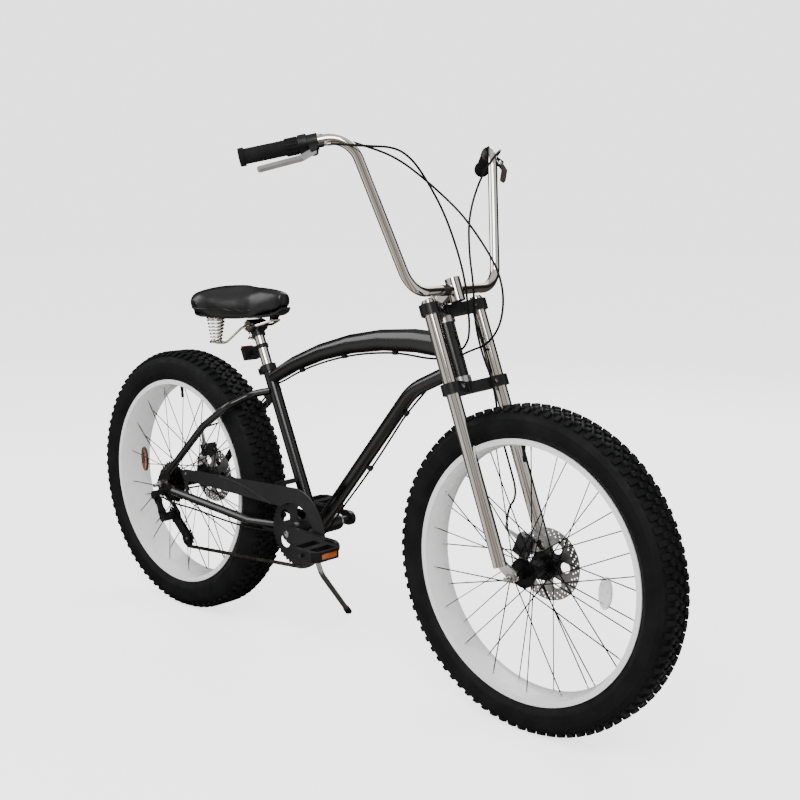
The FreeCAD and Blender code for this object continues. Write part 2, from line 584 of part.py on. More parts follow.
def dropout(side):
    centre = rearAxle + Y * (side * dropoutMiddle)
    radii = (s.dropoutRadius, s.dropoutArmRadius)
    plate = link((centre, seatStayPath(side)[-1]), radii, s.dropoutThickness, Y)
    plate = plate.fuse(link((centre, chainStayPath(side)[-1]), radii, s.dropoutThickness, Y))
    slotEnd = centre - X * (2 * s.dropoutRadius)
    slotRadii = (s.axleRadius + s.fitGap, s.axleRadius + s.fitGap)
    if side < 0:
        hangerRadii = (s.dropoutArmRadius, s.hangerRadius)
        plate = plate.fuse(link((centre, hangerPoint), hangerRadii, s.dropoutThickness, Y))
        bolt = s.hangerBolt + s.fitGap
        across = Y * s.dropoutThickness
        plate = plate.cut(rod(hangerPoint - across, hangerPoint + across, bolt))
    else:
        spot = caliperSpot(rearAxle, s.rearCaliperAngle)
        tabRadii = (s.dropoutArmRadius, s.caliperTabRadius)
        plate = plate.fuse(link((centre, spot + Y * dropoutMiddle), tabRadii, s.dropoutThickness, Y))
        face = s.rearRotorOffset + s.caliperOuterWidth
        plate = plate.fuse(rod(spot + Y * face, spot + Y * dropoutMiddle, s.caliperTabRadius))
    return plate.cut(link((centre, slotEnd), slotRadii, 2 * s.dropoutThickness, Y))


stays = []
stayCores = []
dropouts = []
for side in (1, -1):
    plate = dropout(side)
    dropouts.append(plate)
    for points, radius, core in (
        (seatStayPath(side), s.seatStayRadius, seatCore),
        (chainStayPath(side), s.chainStayRadius, shellCore.fuse(cupCore)),
    ):
        path = bentPath(points, [s.stayBend] * (len(points) - 2))
        stays.append(pipe(path, radius).cut([core, plate]))
        stayCores.append(pipe(path, radius))
group("rear_stays", stays)
group("rear_dropouts", dropouts)


# Seat collar: a split ring with an ear and a binder bolt behind the seat tube.
def seatCollar():
    outer = s.seatTubeRadius + s.collarWall
    base = s.seatTubeLength - s.collarHeight
    reach = s.seatTubeRadius + s.collarEar
    band = Part.makeCylinder(outer, s.collarHeight, Vector(0, 0, base))
    ear = Part.makeBox(reach, s.collarEarWidth, s.collarHeight, Vector(-reach, -s.collarEarWidth / 2, base))
    slit = Part.makeBox(reach, s.collarSlot, s.collarHeight, Vector(-reach, -s.collarSlot / 2, base))
    bore = Part.makeCylinder(s.seatTubeRadius + s.fitGap, s.collarHeight, Vector(0, 0, base))
    boltAt = Vector(-(outer + reach) / 2, 0, base + s.collarHeight / 2)
    boltReach = Y * (s.collarEarWidth / 2 + s.collarBolt)
    bolt = rod(boltAt - boltReach, boltAt + boltReach, s.collarBolt)
    return band.fuse(ear).cut([slit, bore]).fuse(bolt)


feature("seat_collar", seatCollar(), seatFrame)


# Crowns of the double-crown fork, in the steering frame
legSpots = [Vector(s.legLead, side * s.legSpread / 2, 0) for side in (1, -1)]
stemBase = upperCrownHeight + s.crownThickness / 2
stemTop = stemBase + s.stemClampHeight


def crown(height):
    middle = Z * height
    plate = Part.makeCylinder(s.crownBossRadius, s.crownThickness, middle - Z * (s.crownThickness / 2))
    for spot in legSpots:
        radii = (s.crownArmRadius, s.legRadius + s.crownWall)
        plate = plate.fuse(link((middle, spot + middle), radii, s.crownThickness, Z))
    holes = []
    for spot in legSpots:
        holes.append(Part.makeCylinder(s.legRadius + s.fitGap, stemTop, spot))
    return plate.cut(holes)


steererFoot = s.lowerCrownHeight - s.crownThickness / 2
steererCore = Part.makeCylinder(s.steererRadius, stemTop - steererFoot, Z * steererFoot)
steererBore = Part.makeCylinder(s.steererRadius - s.steererWall, stemTop - steererFoot, Z * steererFoot)
steererHole = Part.makeCylinder(s.steererRadius + s.fitGap, stemTop)
lowerCrown = crown(s.lowerCrownHeight).fuse(steererCore).cut(steererBore)
upperCrown = crown(upperCrownHeight).cut(steererHole)
feature("fork_crowns", Part.makeCompound([lowerCrown, upperCrown]), steerFrame)


# Fork legs: tubes closed at both ends, with slotted blades for the axle and a tab for the brake caliper.
def forkLeg(side):
    spot = Vector(s.legLead, side * s.legSpread / 2, s.legBottom)
    top = stemBase + s.legTop
    leg = Part.makeCylinder(s.legRadius, top - s.legBottom, spot)
    bladeSide = Y * (side * (s.frontHubWidth + s.forkBladeThickness) / 2)
    axleSpot = X * s.forkRake + bladeSide
    radii = (s.forkBladeRadius, s.forkBladeRadius)
    blade = link((Vector(s.legLead, 0, s.legBottom) + bladeSide, axleSpot), radii, s.forkBladeThickness, Y)
    leg = leg.fuse(blade)
    if side > 0:
        spotOut = caliperSpot(frontAxle, s.frontCaliperAngle)
        inner = s.frontRotorOffset + s.caliperOuterWidth
        tabSide = Y * (inner + s.forkBladeThickness / 2)
        ahead = X * s.caliperArmInset
        caliperEnd = steerFrame.inverse().multVec(spotOut + ahead) + tabSide
        legEnd = Vector(s.legLead, 0, caliperEnd.z) + tabSide
        tab = link((legEnd, caliperEnd), (s.caliperTabRadius, s.caliperTabRadius), s.forkBladeThickness, Y)
        leg = leg.fuse(tab)
    hollow = top - s.legTop - s.legBottom - s.legTop
    leg = leg.cut(Part.makeCylinder(s.legRadius - s.legWall, hollow, spot + Z * s.legTop))
    slotRadii = (s.axleRadius + s.fitGap, s.axleRadius + s.fitGap)
    slotEnd = axleSpot - Z * (2 * s.forkBladeRadius)
    return leg.cut(link((axleSpot, slotEnd), slotRadii, 2 * s.forkBladeThickness, Y))


feature("fork_legs", Part.makeCompound([forkLeg(1), forkLeg(-1)]), steerFrame)


# Stem: a clamp on the steerer, a short arm and an upright barrel that holds the bar.
def stem():
    barSpot = Vector(s.stemReach, 0, upperCrownHeight + s.stemRise)
    middle = Z * (stemBase + s.stemClampHeight / 2)
    clamp = Part.makeCylinder(s.stemClampRadius, s.stemClampHeight, Z * stemBase)
    barrel = Part.makeCylinder(s.stemBlockRadius, s.stemBlockHeight, barSpot - Z * (s.stemBlockHeight / 2))
    armRadii = (s.stemArmRadius, s.stemArmRadius)
    arm = link((middle, middle + X * s.stemReach), armRadii, s.stemClampHeight - s.overrun, Z)
    reach = Y * (2 * s.stemBlockRadius)
    barHole = rod(barSpot - reach, barSpot + reach, s.barRadius + s.fitGap)
    return clamp.fuse([arm, barrel]).cut([steererHole, barHole])


feature("stem", stem(), steerFrame)

# Handlebar: a tall swept-back bar of one bent tube
barMiddle = steer(s.stemReach, 0, upperCrownHeight + s.stemRise)


def barPoints(side):
    base = barMiddle + Vector(0, side * s.barBaseHalf, 0)
    top = barMiddle + Vector(-s.barTopBack, side * s.barTopHalf, s.barTopRise)
    end = barMiddle + Vector(-s.barEndBack, side * s.barEndHalf, s.barEndRise)
    return [base, top, end]


barPath = bentPath(barPoints(-1)[::-1] + barPoints(1), [s.barBend] * 4)
feature("handlebar", pipe(barPath, s.barRadius))


# Each grip frame lies at a bar end: Z runs inward along the bar and X towards the lever.
def gripFrame(side):
    base, top, end = barPoints(side)
    inward = (top - end).normalize()
    level = Vector(abs(inward.y), side * abs(inward.x), 0).normalize()
    drop = math.radians(s.leverDropAngle)
    ahead = level * math.cos(drop) - Z * math.sin(drop)
    ahead = (ahead - inward * ahead.dot(inward)).normalize()
    return Placement(end, Rotation(ahead, inward.cross(ahead), inward, "ZXY"))


def grip(label, length, side):
    bore = "barRadius + fitGap"
    outline = [
        ("0", "-(gripCap)"), ("gripFlange", "-(gripCap)"), ("gripFlange", "gripFlangeLength"),
        ("gripRadius", "gripFlangeLength"), ("gripRadius", length), (bore, length), (bore, "0"), ("0", "0"),
    ]
    return turned(label, outline, gripFrame(side))


group("grips", [grip("right_grip", "rightGripLength", -1), grip("left_grip", "leftGripLength", 1)])


# Twist shifter: a ribbed ring that turns on the bar, beside its fixed housing with the cable exit.
barHoleRadius = s.barRadius + s.fitGap
shifterStart = s.rightGripLength + s.seatGap
houseStart = shifterStart + s.shifterLength + s.seatGap
shifterExit = s.shifterHouseRadius + s.gripCap
rightPerch = houseStart + s.shifterHouseLength + s.perchLength / 2 + s.seatGap
leftPerch = s.leftGripLength + s.perchLength / 2 + s.seatGap


def twistShifter():
    twist = ring(s.shifterRadius, barHoleRadius, s.shifterLength, Z * shifterStart)
    ribs = []
    width = 2 * s.shifterRibHeight
    for index in range(int(s.shifterRibCount)):
        corner = Vector(s.shifterRadius - s.shifterRibHeight, -width / 2, shifterStart + s.shifterRibHeight)
        rib = Part.makeBox(2 * s.shifterRibHeight, width, s.shifterLength - 2 * s.shifterRibHeight, corner)
        rib.rotate(Vector(), Z, index * 360 / s.shifterRibCount)
        ribs.append(rib)
    return twist.fuse(ribs)


def cableBarrel(reach, start, end):
    barrelRadius = 2 * s.housingRadius
    return rod(Vector(reach, 0, start), Vector(reach, 0, end), barrelRadius)


def shifterHousing():
    house = ring(s.shifterHouseRadius, barHoleRadius, s.shifterHouseLength, Z * houseStart)
    return house.fuse(cableBarrel(-shifterExit, houseStart, houseStart + 2 * s.shifterHouseLength))


feature("twist_shifter", twistShifter(), gripFrame(-1))
feature("shifter_housing", shifterHousing(), gripFrame(-1))


# Brake perch and lever: a clamp with two cheeks that carry the lever's pin.
def perch(middle):
    outer = s.barRadius + s.perchWall
    base = Z * (middle - s.perchLength / 2)
    body = Part.makeCylinder(outer, s.perchLength, base)
    pivot = Vector(s.perchReach, 0, middle)
    cheekSide = (s.leverThickness + s.perchCheek) / 2 + s.seatGap
    for side in (1, -1):
        shift = Y * (side * cheekSide)
        cheekRadii = (s.perchLength / 2, s.perchCheekRadius)
        body = body.fuse(link((Z * middle + shift, pivot + shift), cheekRadii, s.perchCheek, Y))
    pinReach = Y * (cheekSide + s.perchCheek / 2)
    body = body.fuse(cableBarrel(outer, middle, middle + s.perchLength))
    bore = Part.makeCylinder(barHoleRadius, 2 * s.perchLength, base - Z * (s.perchLength / 2))
    return body.cut(bore).fuse(rod(pivot - pinReach, pivot + pinReach, s.leverPinRadius))


def lever(middle):
    pivot = Vector(s.perchReach, 0, middle)
    knee = pivot + Vector(s.leverKneeReach, 0, -s.leverKneeOut)
    tip = pivot + Vector(s.leverTipReach, 0, -s.leverTipOut)
    radii = (s.leverRadius, s.leverRadius)
    root = link((pivot, knee), radii, s.leverThickness, Y)
    blade = root.fuse(link((knee, tip), radii, s.leverThickness, Y))
    reach = Y * s.leverThickness
    return blade.cut(rod(pivot - reach, pivot + reach, s.leverPinRadius + s.fitGap))


perches = []
for side, middle in ((-1, rightPerch), (1, leftPerch)):
    body = perch(middle)
    body.Placement = gripFrame(side)
    perches.append(body)
group("brake_perches", perches)
feature("right_brake_lever", lever(rightPerch), gripFrame(-1))
feature("left_brake_lever", lever(leftPerch), gripFrame(1))


# Disc brake calipers: a block slotted round the rotor, with a swinging actuating arm on its pin.
def caliper(end, axle, offset, angle, armSide):
    turn = Rotation(Y, -angle)
    place = Placement(axle + Y * offset + turn.multVec(X) * s.caliperReach, turn)
    width = s.caliperInnerWidth + s.caliperOuterWidth
    corner = Vector(-s.caliperDepth / 2, -s.caliperInnerWidth, -s.caliperLength / 2)
    block = Part.makeBox(s.caliperDepth, width, s.caliperLength, corner)
    slotDepth = s.caliperDepth / 2 + s.caliperEdge - s.caliperReach
    slotCorner = Vector(-s.caliperDepth / 2, -s.caliperSlot / 2, -s.caliperLength / 2)
    block = block.cut(Part.makeBox(slotDepth, s.caliperSlot, s.caliperLength, slotCorner))
    face = s.caliperOuterWidth if armSide > 0 else s.caliperInnerWidth
    pivot = Vector(s.caliperArmInset, armSide * face, 0)
    armMiddle = pivot + Y * (armSide * (s.seatGap + s.caliperArmThickness / 2))
    pinEnd = pivot + Y * (armSide * (s.seatGap + s.caliperArmThickness))
    block = block.fuse(rod(pivot, pinEnd, s.caliperPinRadius))
    radii = (s.caliperArmRadius, s.caliperPinRadius)
    arm = link((armMiddle, armMiddle + X * s.caliperArmLength), radii, s.caliperArmThickness, Y)
    arm = arm.cut(rod(pivot, pinEnd + Y * (armSide * s.overrun), s.caliperPinRadius + s.fitGap))
    feature(end + "_caliper", block, place)
    feature(end + "_caliper_arm", arm, place)


caliper("front", frontAxle, s.frontRotorOffset, s.frontCaliperAngle, 1)
caliper("rear", rearAxle, s.rearRotorOffset, s.rearCaliperAngle, -1)


# Sprockets: the outline alternates between a valley for each chain pin and a tooth tip.
def pitchRadius(teeth):
    return s.chainPitch / (2 * math.sin(math.pi / teeth))


def sprocket(teeth, angle, thickness):
    radius = pitchRadius(teeth)
    corners = []
    for index in range(int(teeth)):
        for reach, phase in ((radius - s.toothDepth, 0), (radius + s.toothHeight, 0.5)):
            turn = angle + (index + phase) * 2 * math.pi / teeth
            corners.append(Vector(reach * math.cos(turn), 0, reach * math.sin(turn)))
    disc = Part.Face(Part.makePolygon(corners + corners[:1])).extrude(Y * thickness)
    disc.translate(Y * (-thickness / 2))
    return disc


# The chain's path: (centre, teeth, sense) of each wheel in the order in which a link meets them.
guidePoint = rearAxle + Vector(s.guideAhead, -s.chainLine, -s.guideDrop)


def leftOf(run):
    return Vector(-run.z, 0, run.x)


def chainRuns(cageAngle):
    lean = math.radians(cageAngle)
    tension = guidePoint + Vector(math.cos(lean), 0, -math.sin(lean)) * s.pulleySpacing
    side = -Y * s.chainLine
    wheels = [
        (bracket + side, s.ringTeeth, 1), (tension, s.pulleyTeeth, 1),
        (guidePoint, s.pulleyTeeth, -1), (rearAxle + side, s.cogTeeth, 1),
    ]
    runs = []
    for start, end in zip(wheels, wheels[1:] + wheels[:1]):
        offset = start[2] * pitchRadius(start[1]) - end[2] * pitchRadius(end[1])
        gap = end[0] - start[0]
        lean = math.asin(offset / gap.Length)
        unit = gap / gap.Length
        along = unit * math.cos(lean) - leftOf(unit) * math.sin(lean)
        leave = start[0] + leftOf(along) * (start[2] * pitchRadius(start[1]))
        meet = end[0] + leftOf(along) * (end[2] * pitchRadius(end[1]))
        runs.append((leave, meet))
    return wheels, runs


def heading(centre, point):
    return math.atan2(point.z - centre.z, point.x - centre.x)


# Pieces of the path, each with its length counted in chain pitches.
def chainPieces(cageAngle):
    wheels, runs = chainRuns(cageAngle)
    pieces = []
    for index, (centre, teeth, sense) in enumerate(wheels):
        entry, leave = runs[index - 1][1], runs[index][0]
        start, end = heading(centre, entry), heading(centre, leave)
        sweep = ((start - end) * sense) % (2 * math.pi)
        pieces.append(("arc", sweep * teeth / (2 * math.pi), centre, teeth, sense, start))
        pieces.append(("run", (runs[index][1] - leave).Length / s.chainPitch, leave, runs[index][1]))
    return pieces


def chainLength(cageAngle):
    return sum(piece[1] for piece in chainPieces(cageAngle))


# The cage settles where the chain holds a whole, even number of links.
restCageAngle, swingAngle, searchSteps = 44, 12, 40
linkCount = 2 * round(chainLength(restCageAngle) / 2)
low, high = restCageAngle - swingAngle, restCageAngle + swingAngle
rising = chainLength(high) > chainLength(low)
for step in range(searchSteps):
    cageAngle = (low + high) / 2
    if (chainLength(cageAngle) > linkCount) == rising:
        high = cageAngle
    else:
        low = cageAngle
tensionPoint = chainRuns(cageAngle)[0][1][0]


def chainPin(pitches):
    for piece in chainPieces(cageAngle):
        if pitches <= piece[1]:
            break
        pitches -= piece[1]
    if piece[0] == "run":
        return piece[2] + (piece[3] - piece[2]) * (pitches / piece[1])
    centre, teeth, sense, start = piece[2:]
    angle = start - sense * pitches * 2 * math.pi / teeth
    return centre + Vector(math.cos(angle), 0, math.sin(angle)) * pitchRadius(teeth)


pins = [chainPin(index) for index in range(linkCount)]


# The angle of the valley that a wheel's nearest chain pin rests in.
def meshAngle(centre, teeth):
    radius = pitchRadius(teeth)
    nearest = min(pins, key=lambda pin: abs((pin - centre).Length - radius) + abs(pin.y - centre.y))
    return heading(centre, nearest)


def chainLink(start, end, outer):
    along = (end - start).normalize()
    up = leftOf(along)
    tall = up * (s.chainPlateHeight / 2)
    if outer:
        tip = along * s.chainPlateEnd
        corners = [start - tip, start + tall, end + tall, end + tip, end - tall, start - tall]
        near = s.chainGapWidth / 2 + s.chainPlate
    else:
        tip = along * (s.chainPlateEnd / 2)
        corners = [start - tip - tall, start - tip + tall, end + tip + tall, end + tip - tall]
        near = s.chainGapWidth / 2
    face = Part.Face(Part.makePolygon(corners + corners[:1]))
    plates = []
    for side in (1, -1):
        plate = face.extrude(Y * (side * s.chainPlate))
        plate.translate(Y * (side * near))
        plates.append(plate)
    return plates


plates = []
for index, pin in enumerate(pins):
    plates += chainLink(pin, pins[(index + 1) % linkCount], index % 2)
group("chain", plates)

# Crank set, chainring and freewheel
ringCentre = bracket - Y * s.chainLine
crankFace = s.crankInset + s.crankThickness
pedalStart = crankFace + s.pedalGap
pedalEnd = pedalStart + s.pedalWidth


def crankSet():
    body = rod(bracket - Y * crankFace, bracket + Y * crankFace, s.spindleRadius)
    ringFace = s.chainLine + s.toothThickness / 2
    body = body.fuse(rod(bracket - Y * s.crankInset, bracket - Y * ringFace, s.crankFlangeRadius))
    body = body.fuse(rod(bracket - Y * s.crankInset, bracket - Y * s.crankBossInset, s.ringBore - s.fitGap))
    for side in (1, -1):
        middle = bracket + Y * (side * (s.crankInset + s.crankThickness / 2))
        eye = middle - X * (side * s.crankLength)
        radii = (s.crankBossRadius, s.crankEyeRadius)
        body = body.fuse(link((middle, eye), radii, s.crankThickness, Y))
        body = body.fuse(rod(eye, eye + Y * (side * (pedalEnd - s.crankInset)), s.pedalAxleRadius))
    return body


def chainring():
    disc = sprocket(s.ringTeeth, meshAngle(ringCentre, s.ringTeeth), s.toothThickness)
    holes = [rod(-Y * s.toothThickness, Y * s.toothThickness, s.ringBore)]
    for index in range(int(s.ringWindowCount)):
        angle = 2 * math.pi * index / s.ringWindowCount
        spot = Vector(math.cos(angle), 0, math.sin(angle)) * s.ringWindowCircle
        holes.append(rod(spot - Y * s.toothThickness, spot + Y * s.toothThickness, s.ringWindowRadius))
    return disc.cut(holes)


cogSteps = ((28, -3), (24, -2), (22, -1), (s.cogTeeth, 0), (18, 1), (16, 2), (14, 3))


def freewheel():
    driven = rearAxle - Y * s.chainLine
    half = 3.5 * s.cogSpacing
    body = rod(Y * half, -Y * half, s.cogBodyRadius)
    for teeth, step in cogSteps:
        cog = sprocket(teeth, meshAngle(driven, teeth), s.toothThickness)
        cog.translate(-Y * (step * s.cogSpacing))
        body = body.fuse(cog)
    return body.cut(rod(Y * (2 * half), -Y * (2 * half), s.hubNoseRadius + s.fitGap))


feature("crank_set", crankSet())
feature("chainring", chainring(), Placement(ringCentre, Rotation()))
feature("freewheel", freewheel(), Placement(rearAxle - Y * s.chainLine, Rotation()))


# Pedals: a platform frame with cut corners round a barrel on the axle.
def pedal(side):
    eye = bracket - X * (side * s.crankLength)
    halfLength, halfHeight = s.pedalLength / 2, s.pedalHeight / 2
    inner, outer = side * pedalStart, side * pedalEnd
    corner = side * s.pedalCorner
    corners = [
        Vector(-halfLength, inner + corner), Vector(-halfLength, outer - corner),
        Vector(-halfLength + s.pedalCorner, outer), Vector(halfLength - s.pedalCorner, outer),
        Vector(halfLength, outer - corner), Vector(halfLength, inner + corner),
        Vector(halfLength - s.pedalCorner, inner), Vector(-halfLength + s.pedalCorner, inner),
    ]
    plate = Part.Face(Part.makePolygon(corners + corners[:1])).extrude(Z * s.pedalHeight)
    plate.translate(Z * -halfHeight)
    windowLength = halfLength - s.pedalRail - s.pedalBarrelRadius
    windowWidth = s.pedalWidth - 2 * s.pedalCorner
    low = min(inner + corner, outer - corner)
    for start in (s.pedalBarrelRadius, -s.pedalBarrelRadius - windowLength):
        corner = Vector(start, low, -halfHeight)
        plate = plate.cut(Part.makeBox(windowLength, windowWidth, s.pedalHeight, corner))
    plate = plate.cut(rod(Y * inner, Y * outer, s.pedalAxleRadius + s.fitGap))
    return plate, Placement(eye, Rotation())


for side, name in ((-1, "right_pedal"), (1, "left_pedal")):
    plate, place = pedal(side)
    feature(name, plate, place)


# Rear derailleur: mount, side link, knuckle and the pulley cage
linkRun = guidePoint - hangerPoint
linkRun.y = 0
linkRun.normalize()
linkAxis = Vector(-linkRun.z, 0, linkRun.x)
linkSide = -(dropoutInner + s.dropoutThickness + s.mountLength / 2)
mountMiddle = Vector(hangerPoint.x, linkSide, hangerPoint.z)
knuckleMiddle = Vector(guidePoint.x, linkSide, guidePoint.z)
linkTop = mountMiddle + linkRun * s.linkInset
linkFoot = knuckleMiddle - linkRun * s.linkInset
earShift = (s.linkWidth + s.linkEar) / 2 + s.seatGap
pinReach = earShift + s.linkEar / 2


def ears(body, root, tip):
    radii = (s.linkRadius, s.linkRadius)
    for side in (1, -1):
        shift = linkAxis * (side * earShift)
        body = body.fuse(link((root + shift, tip + shift), radii, s.linkEar, linkAxis))
    return body.fuse(rod(tip - linkAxis * pinReach, tip + linkAxis * pinReach, s.linkPinRadius))


mountFace = hangerPoint - Y * (s.dropoutThickness / 2)
mount = rod(mountFace, mountFace - Y * s.mountLength, s.knuckleRadius)
mount = mount.fuse(rod(mountFace + Y * s.dropoutThickness, mountFace, s.hangerBolt))
feature("derailleur_mount", ears(mount, mountMiddle, linkTop))

sideLink = link((linkTop, linkFoot), (s.linkRadius, s.linkRadius), s.linkWidth, linkAxis)
bores = []
for spot in (linkTop, linkFoot):
    boreReach = linkAxis * s.linkWidth
    bores.append(rod(spot - boreReach, spot + boreReach, s.linkPinRadius + s.fitGap))
feature("derailleur_link", sideLink.cut(bores))

cageSide = s.pulleyThickness / 2 + s.seatGap + s.cagePlate / 2
cageFace = guidePoint - Y * (cageSide + s.cagePlate / 2)
knuckleFace = cageFace - Y * s.seatGap
knuckleEnd = Vector(guidePoint.x, linkSide - s.linkRadius, guidePoint.z)
knuckle = ears(rod(knuckleFace, knuckleEnd, s.knuckleRadius), knuckleMiddle, linkFoot)
pivotBore = rod(knuckleFace, knuckleFace - Y * s.cagePivotLength, s.cagePivot + s.fitGap)
feature("derailleur_knuckle", knuckle.cut(pivotBore))

cage = rod(cageFace, cageFace - Y * s.cagePivotLength, s.cagePivot)
for side in (1, -1):
    shift = Y * (side * cageSide)
    radii = (s.cagePlateRadius, s.cagePlateRadius)
    cage = cage.fuse(link((guidePoint + shift, tensionPoint + shift), radii, s.cagePlate, Y))
for spot in (guidePoint, tensionPoint):
    cage = cage.fuse(rod(spot - Y * cageSide, spot + Y * cageSide, s.pulleyBoltRadius))
feature("derailleur_cage", cage)


def pulley(centre):
    disc = sprocket(s.pulleyTeeth, meshAngle(centre, s.pulleyTeeth), s.toothThickness)
    half = Y * (s.pulleyThickness / 2)
    disc = disc.fuse(rod(-half, half, s.pulleyHubRadius))
    return disc.cut(rod(-half, half, s.pulleyBoltRadius + s.fitGap))


feature("guide_pulley", pulley(guidePoint), Placement(guidePoint, Rotation()))
feature("tension_pulley", pulley(tensionPoint), Placement(tensionPoint, Rotation()))


# Chain guard: a flat plate over the chain's top run and the chainring, on a strap and a tab.
def polar(centre, radius, angle):
    return centre + Vector(math.cos(math.radians(angle)), 0, math.sin(math.radians(angle))) * radius


def chainGuard():
    side = -Y * (s.guardOffset - s.guardThickness / 2)
    middle = bracket + side
    endSpot = rearAxle + side + Vector(s.guardEndAhead, 0, s.guardEndRise)
    rimTip = polar(middle, s.guardRimRadius, s.guardTipAngle)
    rimTop = polar(middle, s.guardRimRadius, s.guardTopAngle)
    rimMiddle = polar(middle, s.guardRimRadius, (s.guardTipAngle + s.guardTopAngle) / 2)
    mouthTop = polar(middle, s.guardMouthRadius, s.guardMouthAngle)
    mouthTip = polar(middle, s.guardMouthRadius, s.guardTipAngle)
    mouthMiddle = polar(middle, s.guardMouthRadius, (s.guardTipAngle + s.guardMouthAngle) / 2)
    endTop, endLow = endSpot + Z * s.guardEndRadius, endSpot - Z * s.guardEndRadius
    edges = [
        Part.Arc(rimTip, rimMiddle, rimTop).toShape(),
        Part.makeLine(rimTop, endTop),
        Part.Arc(endTop, endSpot - X * s.guardEndRadius, endLow).toShape(),
        Part.makeLine(endLow, mouthTop),
        Part.Arc(mouthTop, mouthMiddle, mouthTip).toShape(),
        Part.makeLine(mouthTip, rimTip),
    ]
    plate = Part.Face(Part.Wire(edges)).extrude(-Y * s.guardThickness)
    strapLow = bracket.z + s.guardStrapRise
    strapX = seatFoot.x - s.guardStrapRise / math.tan(math.radians(s.seatTubeAngle))
    reach = s.guardOffset - s.guardThickness / 2
    strapCorner = Vector(strapX, -reach, strapLow)
    strap = Part.makeBox(s.guardTabThickness, reach, s.guardStrapHeight, strapCorner).cut(seatCore)
    stayTop = chainStayPath(-1)[-1].z
    tabCorner = Vector(endSpot.x - s.guardTabWidth / 2, endSpot.y, stayTop)
    tab = Part.makeBox(s.guardTabWidth, s.guardTabThickness, endSpot.z - stayTop, tabCorner)
    return plate.fuse([strap, tab]).cut(stayCores)


feature("chain_guard", chainGuard())

# Kickstand: a plate across the chain stays with a tilted pin, the bent leg and its rubber tip
standPivot = bracket + Vector(-s.standBack, s.standSide, -s.standDrop)
yaw, tilt = math.radians(s.standYawAngle), math.radians(s.standTiltAngle)
standAxis = Vector(math.sin(yaw) * math.cos(tilt), math.cos(yaw) * math.cos(tilt), math.sin(tilt))
standHalf = s.standHeadLength / 2


def standPlate():
    seatShare = 0.8
    narrow, wide = chainStayPath(1)[1:3]
    share = (narrow.x - standPivot.x) / (narrow.x - wide.x)
    stay = narrow + (wide - narrow) * share
    top = stay.z - s.chainStayRadius * seatShare
    reach = stay.y + s.chainStayRadius
    corner = Vector(standPivot.x - s.standPlateLength / 2, -reach, top - s.standPlateThickness)
    plate = Part.makeBox(s.standPlateLength, 2 * reach, s.standPlateThickness, corner).cut(stayCores)
    inner = standPivot - standAxis * (standHalf + s.seatGap)
    lugEnd = inner - standAxis * s.standLugLength
    lug = rod(inner, lugEnd, s.standLugRadius)
    post = Part.makeBox(
        2 * s.standLugRadius, s.standLugLength, top - s.standPlateThickness - lugEnd.z,
        Vector(lugEnd.x - s.standLugRadius, lugEnd.y, lugEnd.z),
    )
    clearance = rod(inner, inner + standAxis * (2 * s.standHeadLength), s.standHeadRadius + s.seatGap)
    pin = rod(lugEnd, standPivot + standAxis * (standHalf + s.standPinEnd), s.standPinRadius)
    return plate.fuse([lug, post]).cut(clearance).fuse(pin)


standKnee = standPivot + Vector(s.standKneeAhead, s.standKneeSide, -s.standKneeDrop)
standFoot = standPivot + Vector(-s.standFootBack, s.standFootSide, 0)
standFoot.z = s.standFootRise
footRun = (standFoot - standKnee).normalize()
legEnd = standFoot - footRun * s.standTipCap
legCore = pipe(bentPath([standPivot, standKnee, legEnd], [s.standBend]), s.standLegRadius)
standHead = rod(standPivot - standAxis * standHalf, standPivot + standAxis * standHalf, s.standHeadRadius)
pinReach = standAxis * s.standHeadLength
standBore = rod(standPivot - pinReach, standPivot + pinReach, s.standPinRadius + s.fitGap)
tipBlank = rod(standFoot - footRun * s.standTipLength, standFoot, s.standTipRadius)
groundSize = 4 * s.standTipRadius
groundCorner = standFoot - Vector(groundSize / 2, groundSize / 2, groundSize + standFoot.z)
ground = Part.makeBox(groundSize, groundSize, groundSize, groundCorner)
feature("kickstand_plate", standPlate())
feature("kickstand_leg", legCore.fuse(standHead).cut(standBore))
feature("kickstand_tip", tipBlank.cut([legCore, ground]))

# Seat post with its clamp and the rear reflector
postTop = s.seatTubeLength + s.postAbove
postBore = "postRadius - postWall"
postLow, postHigh = "seatTubeLength - postInside", "seatTubeLength + postAbove"
keep(sleeve("seatpost", "postRadius", postBore, postLow, postHigh, seatFrame), "seatpost")
clampHeight = postTop + s.clampRise
clampMiddle = seatFoot + seatUp * clampHeight


def saddleClamp():
    spot = Z * clampHeight
    half = Y * (s.clampLength / 2)
    body = rod(spot - half, spot + half, s.clampRadius)
    skirt = postTop - s.clampRadius
    body = body.fuse(Part.makeCylinder(s.postRadius + s.clampWall, clampHeight - skirt, Z * skirt))
    socket = Part.makeCylinder(s.postRadius + s.fitGap, postTop - skirt, Z * skirt)
    return body.cut([socket, rod(spot - half, spot + half, s.railPin + s.fitGap)])


def rearReflector():
    base = s.seatTubeLength + s.reflectorRise
    band = Part.makeCylinder(s.postRadius + s.reflectorBandWall, s.reflectorBand, Z * base)
    back = s.postRadius + s.reflectorBack
    arm = Part.makeBox(back, s.reflectorArm, s.reflectorBand, Vector(-back, -s.reflectorArm / 2, base))
    bore = Part.makeCylinder(s.postRadius + s.fitGap, s.reflectorBand, Z * base)
    low = base + (s.reflectorBand - s.reflectorHeight) / 2
    corner = Vector(-back - s.reflectorDepth, -s.reflectorWidth / 2, low)
    lens = Part.makeBox(s.reflectorDepth, s.reflectorWidth, s.reflectorHeight, corner)
    return band.fuse(arm).cut(bore).fuse(lens)


feature("saddle_clamp", saddleClamp(), seatFrame)
feature("rear_reflector", rearReflector(), seatFrame)

